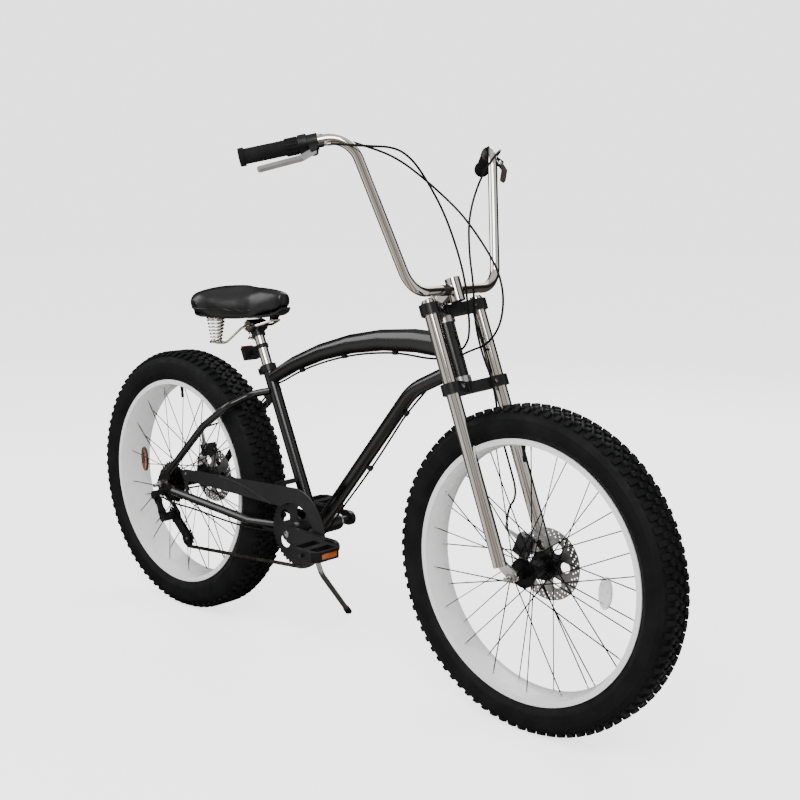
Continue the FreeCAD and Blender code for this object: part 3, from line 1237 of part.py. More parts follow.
# Saddle: a crowned cushion with drawn-in sides on a shell, rails and two coil springs
saddleNose = clampMiddle + Vector(s.saddleNoseAhead, 0, s.saddleRise)
# Each station: its place along the saddle, half width, underside and top, all as shares.
stationShares = (
    (0, 0.16, 0.36, 0.82), (0.05, 0.21, 0.22, 0.88), (0.12, 0.26, 0.12, 0.92), (0.23, 0.31, 0.04, 0.94),
    (0.35, 0.4, 0, 0.95), (0.47, 0.58, 0, 0.97), (0.6, 0.78, 0, 1), (0.72, 0.94, 0, 1),
    (0.82, 1, 0, 1), (0.92, 0.97, 0.05, 0.95), (1, 0.84, 0.16, 0.84),
)
sectionFacets = 5
footShare, bulgeShare, browShare, waistShare, shoulderShare = 0.86, 1, 0.78, 0.45, 0.86


def saddleStation(shares):
    along, half, low, high = shares
    x = saddleNose.x - s.saddleLength * along
    bottom = saddleNose.z + s.saddleDepth * low
    top = saddleNose.z + s.saddleDepth * high
    return x, half * s.saddleWidth / 2, bottom, top


def cushionSection(shares):
    x, half, bottom, top = saddleStation(shares)
    rise = top - bottom
    foot = Vector(x, half * footShare, bottom)
    bulge = Vector(x, half * bulgeShare, bottom + rise * waistShare)
    brow = Vector(x, half * browShare, bottom + rise * shoulderShare)
    otherFoot, otherBulge, otherBrow = [Vector(point.x, -point.y, point.z) for point in (foot, bulge, brow)]
    corners = []
    for arc in (
        Part.Arc(foot, bulge, brow), Part.Arc(brow, Vector(x, 0, top), otherBrow),
        Part.Arc(otherBrow, otherBulge, otherFoot),
    ):
        corners += arc.toShape().discretize(sectionFacets + 1)[:-1]
    return Part.makePolygon([otherFoot] + corners + [otherFoot])


def panSection(shares):
    x, half, bottom, top = saddleStation(shares)
    side = half * footShare
    low = bottom - s.panThickness
    corners = [Vector(x, -side, bottom), Vector(x, side, bottom), Vector(x, side, low), Vector(x, -side, low)]
    return Part.makePolygon(corners + corners[:1])


feature("saddle_pad", Part.makeLoft([cushionSection(shares) for shares in stationShares], True, True))
saddlePan = Part.makeLoft([panSection(shares) for shares in stationShares], True, True)
feature("saddle_base", saddlePan)
railSide = s.clampLength / 2 + s.fitGap + s.railRadius
springSpot = clampMiddle + Vector(-s.springBack, 0, -s.springFootDrop)


def saddleRails():
    low = saddleNose.z - s.panThickness - s.railRadius - s.seatGap
    pinEnd = Y * (railSide + s.railDisc / 2)
    body = rod(clampMiddle - pinEnd, clampMiddle + pinEnd, s.railPin)
    pivot = Vector(saddleNose.x - s.railNoseBack, 0, low)
    body = body.fuse(rod(pivot - Y * s.railNoseSide, pivot + Y * s.railNoseSide, s.railRadius))
    for side in (1, -1):
        nose = pivot + Y * (side * s.railNoseSide)
        front = clampMiddle + Vector(s.railFrontAhead, side * railSide, s.railRadius)
        back = clampMiddle + Vector(-s.railBackBehind, side * railSide, -s.railRadius)
        foot = springSpot + Y * (side * s.springSide)
        inward = Vector(back.x - foot.x, back.y - foot.y, 0).normalize()
        edge = foot + inward * (s.springBottomRadius + s.springWire + 2 * s.railRadius)
        path = bentPath([nose, front, back, edge, foot], [s.railBend, s.railBend, s.railBend])
        disc = clampMiddle + Y * (side * (s.clampLength / 2 + s.fitGap))
        body = body.fuse(pipe(path, s.railRadius, s.wireSides))
        body = body.fuse(rod(disc, disc + Y * (side * s.railDisc), s.railDiscRadius))
        body = body.fuse(rod(foot, foot + Z * s.springCup, s.springBottomRadius + s.springWire))
    return body.cut(saddlePan)


feature("saddle_rails", saddleRails())


# One arc that starts at a point along a direction and ends at another point.
def tangentArc(start, along, end):
    chord = end - start
    normal = along.cross(chord)
    inward = normal.cross(along).normalize()
    radius = chord.dot(chord) / (2 * inward.dot(chord))
    centre = start + inward * radius
    middle = ((start - centre) + (end - centre)).normalize()
    return Part.Arc(start, centre + middle * radius, end).toShape(), radius


# Two arcs that join two points with given directions.
def biarc(start, along, end, onward):
    gap = end - start
    total = along + onward
    spread = 2 * (1 - along.dot(onward))
    reach = (-gap.dot(total) + math.sqrt(gap.dot(total) ** 2 + spread * gap.dot(gap))) / spread
    joint = (start + along * reach + end - onward * reach) / 2
    first, firstRadius = tangentArc(start, along, joint)
    last, lastRadius = tangentArc(end, -onward, joint)
    return [first, last], min(firstRadius, lastRadius)


# A conical coil spring of one unbroken wire, wound in quarter turns.
def coil(low, high):
    quarters = int(4 * s.springTurns)
    half = s.springWire

    def at(quarter):
        share = quarter / quarters
        radius = s.springBottomRadius + (s.springTopRadius - s.springBottomRadius) * share
        angle = quarter * math.pi / 2
        return Vector(radius * math.cos(angle), radius * math.sin(angle), low + (high - low) * share)

    step = 1e-4
    edges, tightest = [], s.springTopRadius
    for quarter in range(quarters):
        ends = []
        for place in (quarter, quarter + 1):
            ends += [at(place), (at(place + step) - at(place - step)).normalize()]
        arcs, radius = biarc(*ends)
        edges += arcs
        tightest = min(tightest, radius)
    wire = Part.Wire(Part.__sortEdges__(edges))
    samples = wire.discretize(40 * int(s.springTurns))
    apart = len(samples) // int(s.springTurns) // 2
    gaps = []
    for index, point in enumerate(samples):
        for other in samples[index + apart:]:
            gaps.append((point - other).Length)
    print("spring: least gap", min(gaps) - 2 * half, "tightest arc", tightest)
    return pipe(wire, half, s.wireSides)


panUnder = saddleNose.z - s.panThickness
coilLow = springSpot.z + s.springCup + s.springWire
coils = []
for side in (1, -1):
    wound = coil(coilLow, panUnder - s.springWire)
    wound.translate(Vector(springSpot.x, side * s.springSide, 0))
    coils.append(wound)
group("saddle_springs", coils)


# Cable housings: each follows its route in straight runs of even length with a tangent arc at every corner.
def evenRoute(anchors, spacing):
    fineSteps = 24
    points = [anchors[0]]
    whole = [anchors[0] * 2 - anchors[1]] + anchors + [anchors[-1] * 2 - anchors[-2]]
    for before, start, end, after in zip(whole, whole[1:], whole[2:], whole[3:]):
        for step in range(1, fineSteps + 1):
            share = step / fineSteps
            pull, push = (end - before) / 2, (after - start) / 2
            cube, square = share ** 3, share ** 2
            point = start * (2 * cube - 3 * square + 1) + pull * (cube - 2 * square + share)
            points.append(point + end * (3 * square - 2 * cube) + push * (cube - square))
    route = Part.makePolygon(points)
    return route.discretize(round(route.Length / spacing) + 1)


def housing(name, anchors):
    runShare, spacing = 0.45, s.housingRun
    points = evenRoute(anchors, spacing)
    bends = []
    for before, corner, after in zip(points, points[1:], points[2:]):
        half = (before - corner).getAngle(after - corner) / 2
        shorter = min((before - corner).Length, (after - corner).Length)
        bends.append(runShare * shorter * math.tan(half))
    path = bentPath(points, bends)
    cord = pipe(path, s.housingRadius, s.wireSides)
    plain = math.sin(2 * math.pi / s.wireSides) * s.wireSides / 2 * s.housingRadius ** 2 * path.Length
    print(name, "tightest bend", min(bends), "volume share", cord.Volume / plain)
    return cord


# Loop corners are shares of the bar's rise, taken from the middle of the bar.
def loopPoints(shares):
    return [barMiddle + Vector(*share) * s.barTopRise for share in shares]


clearOf = s.housingRadius + s.seatGap


def leverExit(side, middle):
    place = gripFrame(side)
    reach = s.barRadius + s.perchWall
    run = Vector(2 * clearOf, 0, s.perchLength)
    start = place.multVec(Vector(reach, 0, middle + s.perchLength + s.housingRadius / 3))
    return [start, start + place.Rotation.multVec(run)]


def shifterExits():
    end = houseStart + 2 * s.shifterHouseLength + s.housingRadius / 2
    ends = (end, end + s.shifterHouseLength)
    return [gripFrame(-1).multVec(Vector(-shifterExit, 0, height)) for height in ends]


# Rear brake: from the right lever round the head tube, under the top tube and over the left seat stay.
def rearBrakeRoute():
    loopShares = (
        (-0.16, -0.7, 0.925), (-0.14, -0.45, 0.93), (-0.15, -0.28, 0.87), (-0.13, -0.16, 0.745),
        (-0.04, -0.08, 0.53), (0.06, -0.056, 0.285), (0.13, -0.056, 0.08), (0.145, -0.04, -0.09), (0.115, 0.02, -0.24),
        (0.035, 0.1, -0.37), (-0.1, 0.115, -0.47), (-0.25, 0.07, -0.505),
    )
    tubeShares = (0.76, 0.64, 0.52, 0.4, 0.28, 0.16)
    points = leverExit(-1, rightPerch) + loopPoints(loopShares)
    for share in tubeShares:
        at = topArc.FirstParameter + (topArc.LastParameter - topArc.FirstParameter) * share
        along = topArc.tangentAt(at)
        tall = s.topTubeSeatHeight + (s.topTubeHeadHeight - s.topTubeSeatHeight) * share
        points.append(topArc.valueAt(at) + Vector(along.z, 0, -along.x) * (tall / 2 + topDip + clearOf))
    root, fork, shoulder, waist, end = seatStayPath(1)
    over = s.seatStayRadius + s.housingRadius + clearOf
    points.append(seatTop + Vector(s.seatStayForkSide, s.seatTubeRadius + over, -s.seatStayShoulderDrop))
    points.append(fork + Vector(0, over, over))
    for start, finish, share in ((shoulder, waist, 0.1), (shoulder, waist, 0.9)):
        run = (finish - start).normalize()
        lift = Vector(run.z, 0, -run.x).normalize()
        points.append(start + (finish - start) * share + lift * over)
    armOut = s.caliperReach + s.caliperArmInset + s.caliperArmLength + s.caliperArmRadius
    armSide = s.rearRotorOffset - s.caliperInnerWidth
    tip = polar(rearAxle + Y * armSide, armOut, s.rearCaliperAngle)
    points.append(tip + Vector(s.caliperArmLength, 0, s.seatStayForkDrop))
    points.append(tip)
    return points


# Shifter: from its housing in a wide loop, under the down tube and the right chain stay to the derailleur.
def shiftRoute():
    loopShares = (
        (-0.33, -0.4, 0.92), (-0.3, -0.22, 0.86), (-0.24, -0.07, 0.755), (-0.1, 0.06, 0.585),
        (0.05, 0.065, 0.46), (0.22, 0.065, 0.27), (0.33, 0.065, 0.115), (0.37, 0.065, -0.06),
        (0.335, 0.065, -0.24), (0.22, 0.07, -0.365), (0.07, 0.09, -0.415), (-0.07, 0.13, -0.47),
        (-0.2, 0.1, -0.595),
    )
    tubeShares = (0.1, 0.24, 0.38, 0.52, 0.66, 0.8)
    points = shifterExits() + loopPoints(loopShares)
    run = (bracket - downKnee).normalize()
    below = Vector(-run.z, 0, run.x)
    for share in tubeShares:
        sag = s.housingSag * math.sin(math.pi * share)
        points.append(downKnee + (bracket - downKnee) * share + below * (s.downTubeRadius + clearOf + sag))
    shellTurns, shellShares = (-20, -80), (0.1, 0.5)
    for angle, sideShare in zip(shellTurns, shellShares):
        spot = polar(bracket, s.shellRadius + s.housingSag + clearOf, angle)
        points.append(spot - Y * (s.chainStayRootSide * sideShare))
    root, narrow, wide, end = chainStayPath(-1)
    under = Z * -(s.chainStayRadius + s.standPlateThickness + clearOf)
    points += [narrow + under, wide + under]
    for share in (0.35, 0.7):
        sag = s.housingSag * math.sin(math.pi * share)
        points.append(wide + (end - wide) * share + under - Z * sag)
    points.append(Vector(end.x, mountMiddle.y, mountMiddle.z - s.knuckleRadius))
    points.append(mountMiddle + X * (s.knuckleRadius + 2 * clearOf))
    return points


# Front brake: from the left lever down past the crowns and along the inside of the left fork leg.
def frontBrakeRoute():
    loopShares = (
        (-0.14, 0.66, 0.975), (-0.09, 0.47, 0.865), (-0.06, 0.3, 0.71), (-0.03, 0.17, 0.48),
        (0.03, 0.11, 0.235), (0.075, 0.1, 0.05), (0.08, 0.105, -0.1), (0.085, 0.12, -0.26),
        (0.145, 0.125, -0.45), (0.235, 0.13, -0.625),
    )
    legShares = (0.744, 0.564, 0.384)
    inside = (s.legSpread / 2 - s.legRadius + s.frontTyreWidth / 2) / 2
    points = leverExit(1, leftPerch) + loopPoints(loopShares)
    behind = s.legLead - s.legRadius
    for share in legShares:
        points.append(steer(behind, inside, s.lowerCrownHeight * share))
    armOut = s.caliperReach + s.caliperArmInset + s.caliperArmLength + s.caliperArmRadius
    armSide = s.frontRotorOffset + s.caliperOuterWidth
    tip = polar(frontAxle + Y * armSide, armOut, s.frontCaliperAngle)
    points.append(tip + Vector(0, 0, s.caliperArmLength))
    points.append(tip)
    return points


frameHousings = [housing("rear brake", rearBrakeRoute()), housing("shifter", shiftRoute())]
group("cable_housings", frameHousings)
feature("front_brake_housing", housing("front brake", frontBrakeRoute()))

# Checks and export
doc.recompute()
for item in parts:
    if "Invalid" in item.State or "Error" in item.State:
        raise RuntimeError(item.Label + " did not compute")
    if item.Shape.isNull() or not item.Shape.isValid():
        raise RuntimeError(item.Label + " is not a valid shape")
os.makedirs("parts", exist_ok=True)
for item in parts:
    item.Shape.exportStep("parts/%s.step" % item.Label)
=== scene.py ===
import bpy
import json
import math
from mathutils import Matrix, Vector


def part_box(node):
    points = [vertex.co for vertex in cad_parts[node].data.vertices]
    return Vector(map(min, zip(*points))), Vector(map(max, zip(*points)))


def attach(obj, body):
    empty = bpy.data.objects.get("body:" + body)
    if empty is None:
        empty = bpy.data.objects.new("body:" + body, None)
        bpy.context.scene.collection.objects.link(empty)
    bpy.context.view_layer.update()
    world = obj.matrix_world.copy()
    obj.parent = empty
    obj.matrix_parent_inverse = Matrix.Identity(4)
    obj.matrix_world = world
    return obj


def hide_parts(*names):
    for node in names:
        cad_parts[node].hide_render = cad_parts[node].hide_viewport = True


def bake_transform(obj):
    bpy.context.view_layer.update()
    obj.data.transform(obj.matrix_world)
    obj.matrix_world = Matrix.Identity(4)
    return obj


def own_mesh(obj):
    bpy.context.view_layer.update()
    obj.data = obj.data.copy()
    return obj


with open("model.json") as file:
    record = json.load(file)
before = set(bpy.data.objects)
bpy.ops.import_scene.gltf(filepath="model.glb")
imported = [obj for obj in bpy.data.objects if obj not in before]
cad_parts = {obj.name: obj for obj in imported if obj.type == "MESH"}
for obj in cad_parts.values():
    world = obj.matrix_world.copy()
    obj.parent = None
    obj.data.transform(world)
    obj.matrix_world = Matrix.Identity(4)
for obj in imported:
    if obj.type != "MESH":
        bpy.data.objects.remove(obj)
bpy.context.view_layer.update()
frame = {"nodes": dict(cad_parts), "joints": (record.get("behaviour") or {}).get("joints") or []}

nodes = frame["nodes"]
jointPlace = {joint["name"]: Vector(joint["pos_m"]) for joint in frame["joints"] if "pos_m" in joint}
jointAxis = {joint["name"]: Vector(joint["axis"]) for joint in frame["joints"]}
frontAxle, rearAxle = jointPlace["front_wheel_spin"], jointPlace["rear_wheel_spin"]
steerFoot, steerUp = jointPlace["steering"], jointAxis["steering"]
steerAhead = Vector((steerUp.z, 0, -steerUp.x))
left, up, ahead = Vector((0, 1, 0)), Vector((0, 0, 1)), Vector((1, 0, 0))
print("frame loaded,", len(nodes), "nodes")


# picking and finishing

def clearPick():
    if bpy.context.object and bpy.context.object.mode != "OBJECT":
        bpy.ops.object.mode_set(mode="OBJECT")
    bpy.ops.object.select_all(action="DESELECT")


def pick(*objs):
    clearPick()
    for obj in objs:
        obj.select_set(True)
    bpy.context.view_layer.objects.active = objs[0]


def applyAll(obj):
    pick(obj)
    for modifier in list(obj.modifiers):
        bpy.ops.object.modifier_apply(modifier=modifier.name)
    bpy.ops.object.transform_apply(location=True, rotation=True, scale=True)


def finishPiece(obj, name, body, material, angle=38):
    applyAll(obj)
    obj.name = obj.data.name = name
    obj.data.materials.clear()
    obj.data.materials.append(material)
    pick(obj)
    bpy.ops.object.shade_smooth_by_angle(angle=math.radians(angle))
    if body:
        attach(obj, body)
    return obj


def joinCopies(master, places):
    copies = []
    for place in places:
        copy = master.copy()
        copy.data = master.data.copy()
        copy.matrix_world = place
        bpy.context.collection.objects.link(copy)
        copies.append(copy)
    bpy.data.objects.remove(master)
    pick(*copies)
    bpy.ops.object.transform_apply(location=True, rotation=True, scale=True)
    bpy.ops.object.join()
    return bpy.context.object


# a place whose Z runs along the given way
def facing(spot, way, roll=0):
    turn = way.normalized().to_track_quat("Z", "Y").to_matrix().to_4x4()
    return Matrix.Translation(spot) @ turn @ Matrix.Rotation(roll, 4, "Z")


def steerSpot(forward, side, height):
    return steerFoot + steerAhead * forward + left * side + steerUp * height


# a turned shape about a sideways axis: points hold (radius, side)
def lathe(points, centre, steps):
    clearPick()
    bpy.ops.mesh.primitive_plane_add(size=0.002, location=(0, 0, 0))
    obj = bpy.context.object
    bpy.ops.object.mode_set(mode="EDIT")
    bpy.ops.mesh.select_all(action="SELECT")
    bpy.ops.mesh.merge(type="CENTER")
    bpy.ops.transform.translate(value=centre + Vector((points[0][0], points[0][1], 0)))
    for (radius, side), (nextRadius, nextSide) in zip(points, points[1:]):
        step = (nextRadius - radius, nextSide - side, 0)
        bpy.ops.mesh.extrude_region_move(TRANSFORM_OT_translate={"value": step})
    bpy.ops.mesh.select_all(action="SELECT")
    bpy.ops.mesh.spin(steps=steps, angle=2 * math.pi, center=centre, axis=(0, 1, 0))
    bpy.ops.mesh.select_all(action="SELECT")
    bpy.ops.mesh.remove_doubles(threshold=0.00002)
    bpy.ops.mesh.normals_make_consistent(inside=False)
    bpy.ops.object.mode_set(mode="OBJECT")
    return obj


def roundedBox(size, bevel, segments=2):
    clearPick()
    bpy.ops.mesh.primitive_cube_add(size=1, location=(0, 0, 0))
    obj = bpy.context.object
    obj.scale = size
    bpy.ops.object.transform_apply(location=False, rotation=False, scale=True)
    bpy.ops.object.mode_set(mode="EDIT")
    bpy.ops.mesh.select_all(action="SELECT")
    bpy.ops.mesh.bevel(offset=bevel, segments=segments)
    bpy.ops.object.mode_set(mode="OBJECT")
    return obj


# a bolt head along +Z with rounded edges and a socket
def boltHead(radius, height, sides=24, socket=0.42):
    clearPick()
    middle = (0, 0, height / 2)
    bpy.ops.mesh.primitive_cylinder_add(vertices=sides, radius=radius, depth=height, location=middle)
    obj = bpy.context.object
    bpy.ops.object.transform_apply(location=True, rotation=False, scale=False)
    bpy.ops.object.mode_set(mode="EDIT")
    bpy.ops.mesh.select_all(action="SELECT")
    bpy.ops.mesh.bevel(offset=radius * 0.12, segments=2)
    bpy.ops.mesh.select_mode(type="FACE")
    bpy.ops.mesh.select_all(action="DESELECT")
    bpy.ops.object.mode_set(mode="OBJECT")
    for face in obj.data.polygons:
        face.select = face.normal.z > 0.9 and face.area > radius * radius
    bpy.ops.object.mode_set(mode="EDIT")
    bpy.ops.mesh.inset(thickness=radius * socket)
    bpy.ops.mesh.extrude_region_move(TRANSFORM_OT_translate={"value": (0, 0, -height * 0.5)})
    bpy.ops.mesh.select_mode(type="VERT")
    bpy.ops.object.mode_set(mode="OBJECT")
    return obj


# where a ray from a place first meets a solid
def faceSpot(node, start, way):
    solid = nodes[node]
    back = solid.matrix_world.inverted()
    hit, spot, normal, index = solid.ray_cast(back @ start, back.to_3x3() @ way)
    if not hit:
        raise RuntimeError("no face of " + node + " there")
    return solid.matrix_world @ spot


# a smooth tube along control points, as a mesh, with the centre line it follows
def smoothTube(name, points, radius, cyclic=False, sides=4):
    curve = bpy.data.curves.new(name, "CURVE")
    curve.dimensions = "3D"
    curve.resolution_u = 8
    spline = curve.splines.new("NURBS")
    spline.points.add(len(points) - 1)
    for point, spot in zip(spline.points, points):
        point.co = (*spot, 1)
    spline.order_u = 3
    spline.use_cyclic_u = cyclic
    spline.use_endpoint_u = not cyclic
    obj = bpy.data.objects.new(name, curve)
    bpy.context.collection.objects.link(obj)
    bpy.context.view_layer.update()
    line = bpy.data.meshes.new_from_object(obj.evaluated_get(bpy.context.evaluated_depsgraph_get()))
    path = [vertex.co.copy() for vertex in line.vertices]
    bpy.data.meshes.remove(line)
    curve.bevel_depth = radius
    curve.bevel_resolution = sides
    curve.use_fill_caps = True
    pick(obj)
    bpy.ops.object.convert(target="MESH")
    return bpy.context.object, path


# smooth shading for the solids: corners merged, edges over the angle kept sharp
def smoothingGroup(angle=34):
    group = bpy.data.node_groups.new("smoothSolid", "GeometryNodeTree")
    group.interface.new_socket("Geometry", in_out="INPUT", socket_type="NodeSocketGeometry")
    group.interface.new_socket("Geometry", in_out="OUTPUT", socket_type="NodeSocketGeometry")
    start, end = group.nodes.new("NodeGroupInput"), group.nodes.new("NodeGroupOutput")
    drop = group.nodes.new("GeometryNodeRemoveAttribute")
    drop.inputs["Name"].default_value = "custom_normal"
    merge = group.nodes.new("GeometryNodeMergeByDistance")
    merge.inputs["Distance"].default_value = 0.00001
    soft, sharp = group.nodes.new("GeometryNodeSetShadeSmooth"), group.nodes.new("GeometryNodeSetShadeSmooth")
    sharp.domain = "EDGE"
    sharp.inputs["Shade Smooth"].default_value = False
    bend = group.nodes.new("GeometryNodeInputMeshEdgeAngle")
    over = group.nodes.new("FunctionNodeCompare")
    over.operation = "GREATER_THAN"
    over.inputs[1].default_value = math.radians(angle)
    link = group.links.new
    link(start.outputs[0], drop.inputs["Geometry"])
    link(drop.outputs["Geometry"], merge.inputs["Geometry"])
    link(merge.outputs["Geometry"], soft.inputs["Geometry"])
    link(soft.outputs["Geometry"], sharp.inputs["Geometry"])
    link(bend.outputs["Unsigned Angle"], over.inputs[0])
    link(over.outputs["Result"], sharp.inputs["Selection"])
    link(sharp.outputs["Geometry"], end.inputs[0])
    return group


# shared surface effects

def newGroup(name, inputs, outputs):
    group = bpy.data.node_groups.new(name, "ShaderNodeTree")
    for label, kind, value in inputs:
        socket = group.interface.new_socket(label, in_out="INPUT", socket_type="NodeSocket" + kind)
        if value is not None:
            socket.default_value = value
    for label, kind in outputs:
        group.interface.new_socket(label, in_out="OUTPUT", socket_type="NodeSocket" + kind)
    return group, group.nodes.new("NodeGroupInput"), group.nodes.new("NodeGroupOutput")


def noise(tree, vector, scale, detail):
    node = tree.nodes.new("ShaderNodeTexNoise")
    node.inputs["Detail"].default_value = detail
    tree.links.new(vector, node.inputs["Vector"])
    if isinstance(scale, (int, float)):
        node.inputs["Scale"].default_value = scale
    else:
        tree.links.new(scale, node.inputs["Scale"])
    return node.outputs["Fac"]


def spread(tree, value, low, high, fromLow=0.3, fromHigh=0.7):
    node = tree.nodes.new("ShaderNodeMapRange")
    node.inputs["From Min"].default_value = fromLow
    node.inputs["From Max"].default_value = fromHigh
    tree.links.new(value, node.inputs["Value"])
    for socket, amount in (("To Min", low), ("To Max", high)):
        if isinstance(amount, (int, float)):
            node.inputs[socket].default_value = amount
        else:
            tree.links.new(amount, node.inputs[socket])
    return node.outputs["Result"]


def mixColour(tree, share, first, second):
    node = tree.nodes.new("ShaderNodeMix")
    node.data_type = "RGBA"
    tree.links.new(share, node.inputs[0])
    tree.links.new(first, node.inputs[6])
    tree.links.new(second, node.inputs[7])
    return node.outputs[2]


# patchy colour and gloss: handling marks, dust and uneven finish
def driftGroup():
    group, start, end = newGroup("finishDrift", [
        ("Vector", "Vector", None), ("Main Color", "Color", (0.1, 0.1, 0.1, 1)),
        ("Worn Color", "Color", (0.2, 0.2, 0.2, 1)), ("Scale", "Float", 12.0), ("Share", "Float", 0.5),
        ("Rough Low", "Float", 0.2), ("Rough High", "Float", 0.4),
    ], [("Color", "Color"), ("Roughness", "Float")])
    patches = noise(group, start.outputs["Vector"], start.outputs["Scale"], 5)
    share = spread(group, patches, 0, start.outputs["Share"], 0.42, 0.7)
    colour = mixColour(group, share, start.outputs["Main Color"], start.outputs["Worn Color"])
    smear = noise(group, start.outputs["Vector"], 46, 6)
    rough = spread(group, smear, start.outputs["Rough Low"], start.outputs["Rough High"])
    group.links.new(colour, end.inputs["Color"])
    group.links.new(rough, end.inputs["Roughness"])
    return group


# fine height for bump: pebbles, moulded grain or orange peel
def grainGroup():
    group, start, end = newGroup("surfaceGrain", [
        ("Vector", "Vector", None), ("Scale", "Float", 900.0), ("Cells", "Float", 0.5),
    ], [("Height", "Float")])
    fine = noise(group, start.outputs["Vector"], start.outputs["Scale"], 3)
    cells = group.nodes.new("ShaderNodeTexVoronoi")
    group.links.new(start.outputs["Vector"], cells.inputs["Vector"])
    group.links.new(start.outputs["Scale"], cells.inputs["Scale"])
    blend = group.nodes.new("ShaderNodeMix")
    group.links.new(start.outputs["Cells"], blend.inputs[0])
    group.links.new(fine, blend.inputs[2])
    group.links.new(cells.outputs["Distance"], blend.inputs[3])
    group.links.new(blend.outputs[0], end.inputs["Height"])
    return group


finishDrift, surfaceGrain = driftGroup(), grainGroup()

# main and worn colour, patch scale and share, gloss range, metal, coat, shine, grain scale, cells and bump
finishes = {
    "frameBlack": dict(
        main=(0.0016, 0.0016, 0.0018), worn=(0.003, 0.003, 0.0034), scale=9, share=0.5,
        rough=(0.24, 0.32), coat=0.7, coatRough=0.17, shine=0.25, grain=420, cells=0.1, bump=0.015,
    ),
    "crownBlack": dict(
        main=(0.005, 0.005, 0.0055), worn=(0.012, 0.012, 0.013), scale=24, share=0.6,
        rough=(0.28, 0.42), coat=0.15, shine=0.25, grain=1200, cells=0.3, bump=0.05,
    ),
    "hubBlack": dict(
        main=(0.004, 0.004, 0.0045), worn=(0.012, 0.012, 0.012), scale=30, share=0.6,
        rough=(0.22, 0.38), metal=0.4, shine=0.25, grain=900, cells=0.2, bump=0.03,
    ),
    "chrome": dict(
        main=(0.78, 0.76, 0.73), worn=(0.66, 0.62, 0.56), scale=7, share=0.55, rough=(0.03, 0.09),
        metal=1, grain=260, cells=0, bump=0.012,
    ),
    "cupSilver": dict(
        main=(0.62, 0.62, 0.63), worn=(0.4, 0.4, 0.4), scale=40, share=0.5, rough=(0.16, 0.3), metal=1,
        grain=700, cells=0, bump=0.02,
    ),
    "rimWhite": dict(
        main=(0.9, 0.9, 0.9), worn=(0.76, 0.76, 0.75), scale=14, share=0.35, rough=(0.2, 0.34),
        coat=0.35, grain=380, cells=0.1, bump=0.02,
    ),
    "spokeBlack": dict(
        main=(0.002, 0.002, 0.002), worn=(0.005, 0.005, 0.005), scale=60, share=0.6, rough=(0.34, 0.5),
        shine=0.08, grain=900, cells=0, bump=0.02,
    ),
    "tyreRubber": dict(
        main=(0.004, 0.0043, 0.005), worn=(0.009, 0.009, 0.0095), scale=18, share=0.7,
        rough=(0.52, 0.74), shine=0.12, grain=1500, cells=0.6, bump=0.14,
    ),
    "rotorSteel": dict(
        main=(0.5, 0.5, 0.5), worn=(0.3, 0.29, 0.28), scale=34, share=0.6, rough=(0.24, 0.42), metal=1,
        grain=800, cells=0, bump=0.05,
    ),
    "chainSteel": dict(
        main=(0.05, 0.047, 0.044), worn=(0.16, 0.15, 0.13), scale=120, share=0.8, rough=(0.28, 0.5),
        metal=1, grain=1400, cells=0.2, bump=0.08,
    ),
    "leverAlloy": dict(
        main=(0.62, 0.62, 0.63), worn=(0.42, 0.42, 0.42), scale=26, share=0.5, rough=(0.2, 0.36),
        metal=1, grain=1100, cells=0.1, bump=0.04,
    ),
    "standAlloy": dict(
        main=(0.6, 0.6, 0.6), worn=(0.38, 0.38, 0.38), scale=20, share=0.6, rough=(0.26, 0.42), metal=1,
        grain=700, cells=0, bump=0.04,
    ),
    "mouldedBlack": dict(
        main=(0.004, 0.004, 0.0044), worn=(0.01, 0.01, 0.011), scale=32, share=0.6, rough=(0.34, 0.52),
        shine=0.25, grain=2200, cells=0.5, bump=0.1,
    ),
    "guardGrey": dict(
        main=(0.012, 0.012, 0.013), worn=(0.02, 0.02, 0.021), scale=16, share=0.6, rough=(0.3, 0.46),
        shine=0.25, grain=1700, cells=0.3, bump=0.07,
    ),
    "gripRubber": dict(
        main=(0.007, 0.007, 0.008), worn=(0.016, 0.016, 0.017), scale=36, share=0.6, rough=(0.6, 0.8),
        shine=0.12, grain=1900, cells=0.7, bump=0.3,
    ),
    "saddleVinyl": dict(
        main=(0.004, 0.004, 0.0044), worn=(0.007, 0.007, 0.0074), scale=22, share=0.6,
        rough=(0.28, 0.36), shine=0.45, grain=900, cells=0.9, bump=0.05,
    ),
    "housingBlack": dict(
        main=(0.003, 0.003, 0.0033), worn=(0.008, 0.008, 0.009), scale=50, share=0.5, rough=(0.3, 0.46),
        shine=0.15, grain=1600, cells=0.2, bump=0.05,
    ),
    "amberLens": dict(
        main=(0.4, 0.09, 0.012), worn=(0.24, 0.05, 0.006), scale=160, share=0.8, rough=(0.1, 0.2),
        coat=0.8, grain=420, cells=1, bump=0.5,
    ),
    "smokedLens": dict(
        main=(0.03, 0.012, 0.008), worn=(0.2, 0.06, 0.02), scale=60, share=0.8, rough=(0.1, 0.2),
        coat=0.8, grain=420, cells=1, bump=0.5,
    ),
    "redLens": dict(
        main=(0.32, 0.008, 0.006), worn=(0.16, 0.004, 0.004), scale=160, share=0.8, rough=(0.1, 0.2),
        coat=0.8, grain=420, cells=1, bump=0.5,
    ),
    "clearLens": dict(
        main=(0.78, 0.79, 0.8), worn=(0.58, 0.6, 0.62), scale=150, share=0.8, rough=(0.1, 0.22),
        coat=0.8, grain=420, cells=1, bump=0.5,
    ),
    "boltSteel": dict(
        main=(0.4, 0.4, 0.41), worn=(0.22, 0.21, 0.2), scale=90, share=0.6, rough=(0.24, 0.4), metal=1,
        grain=1500, cells=0, bump=0.04,
    ),
}


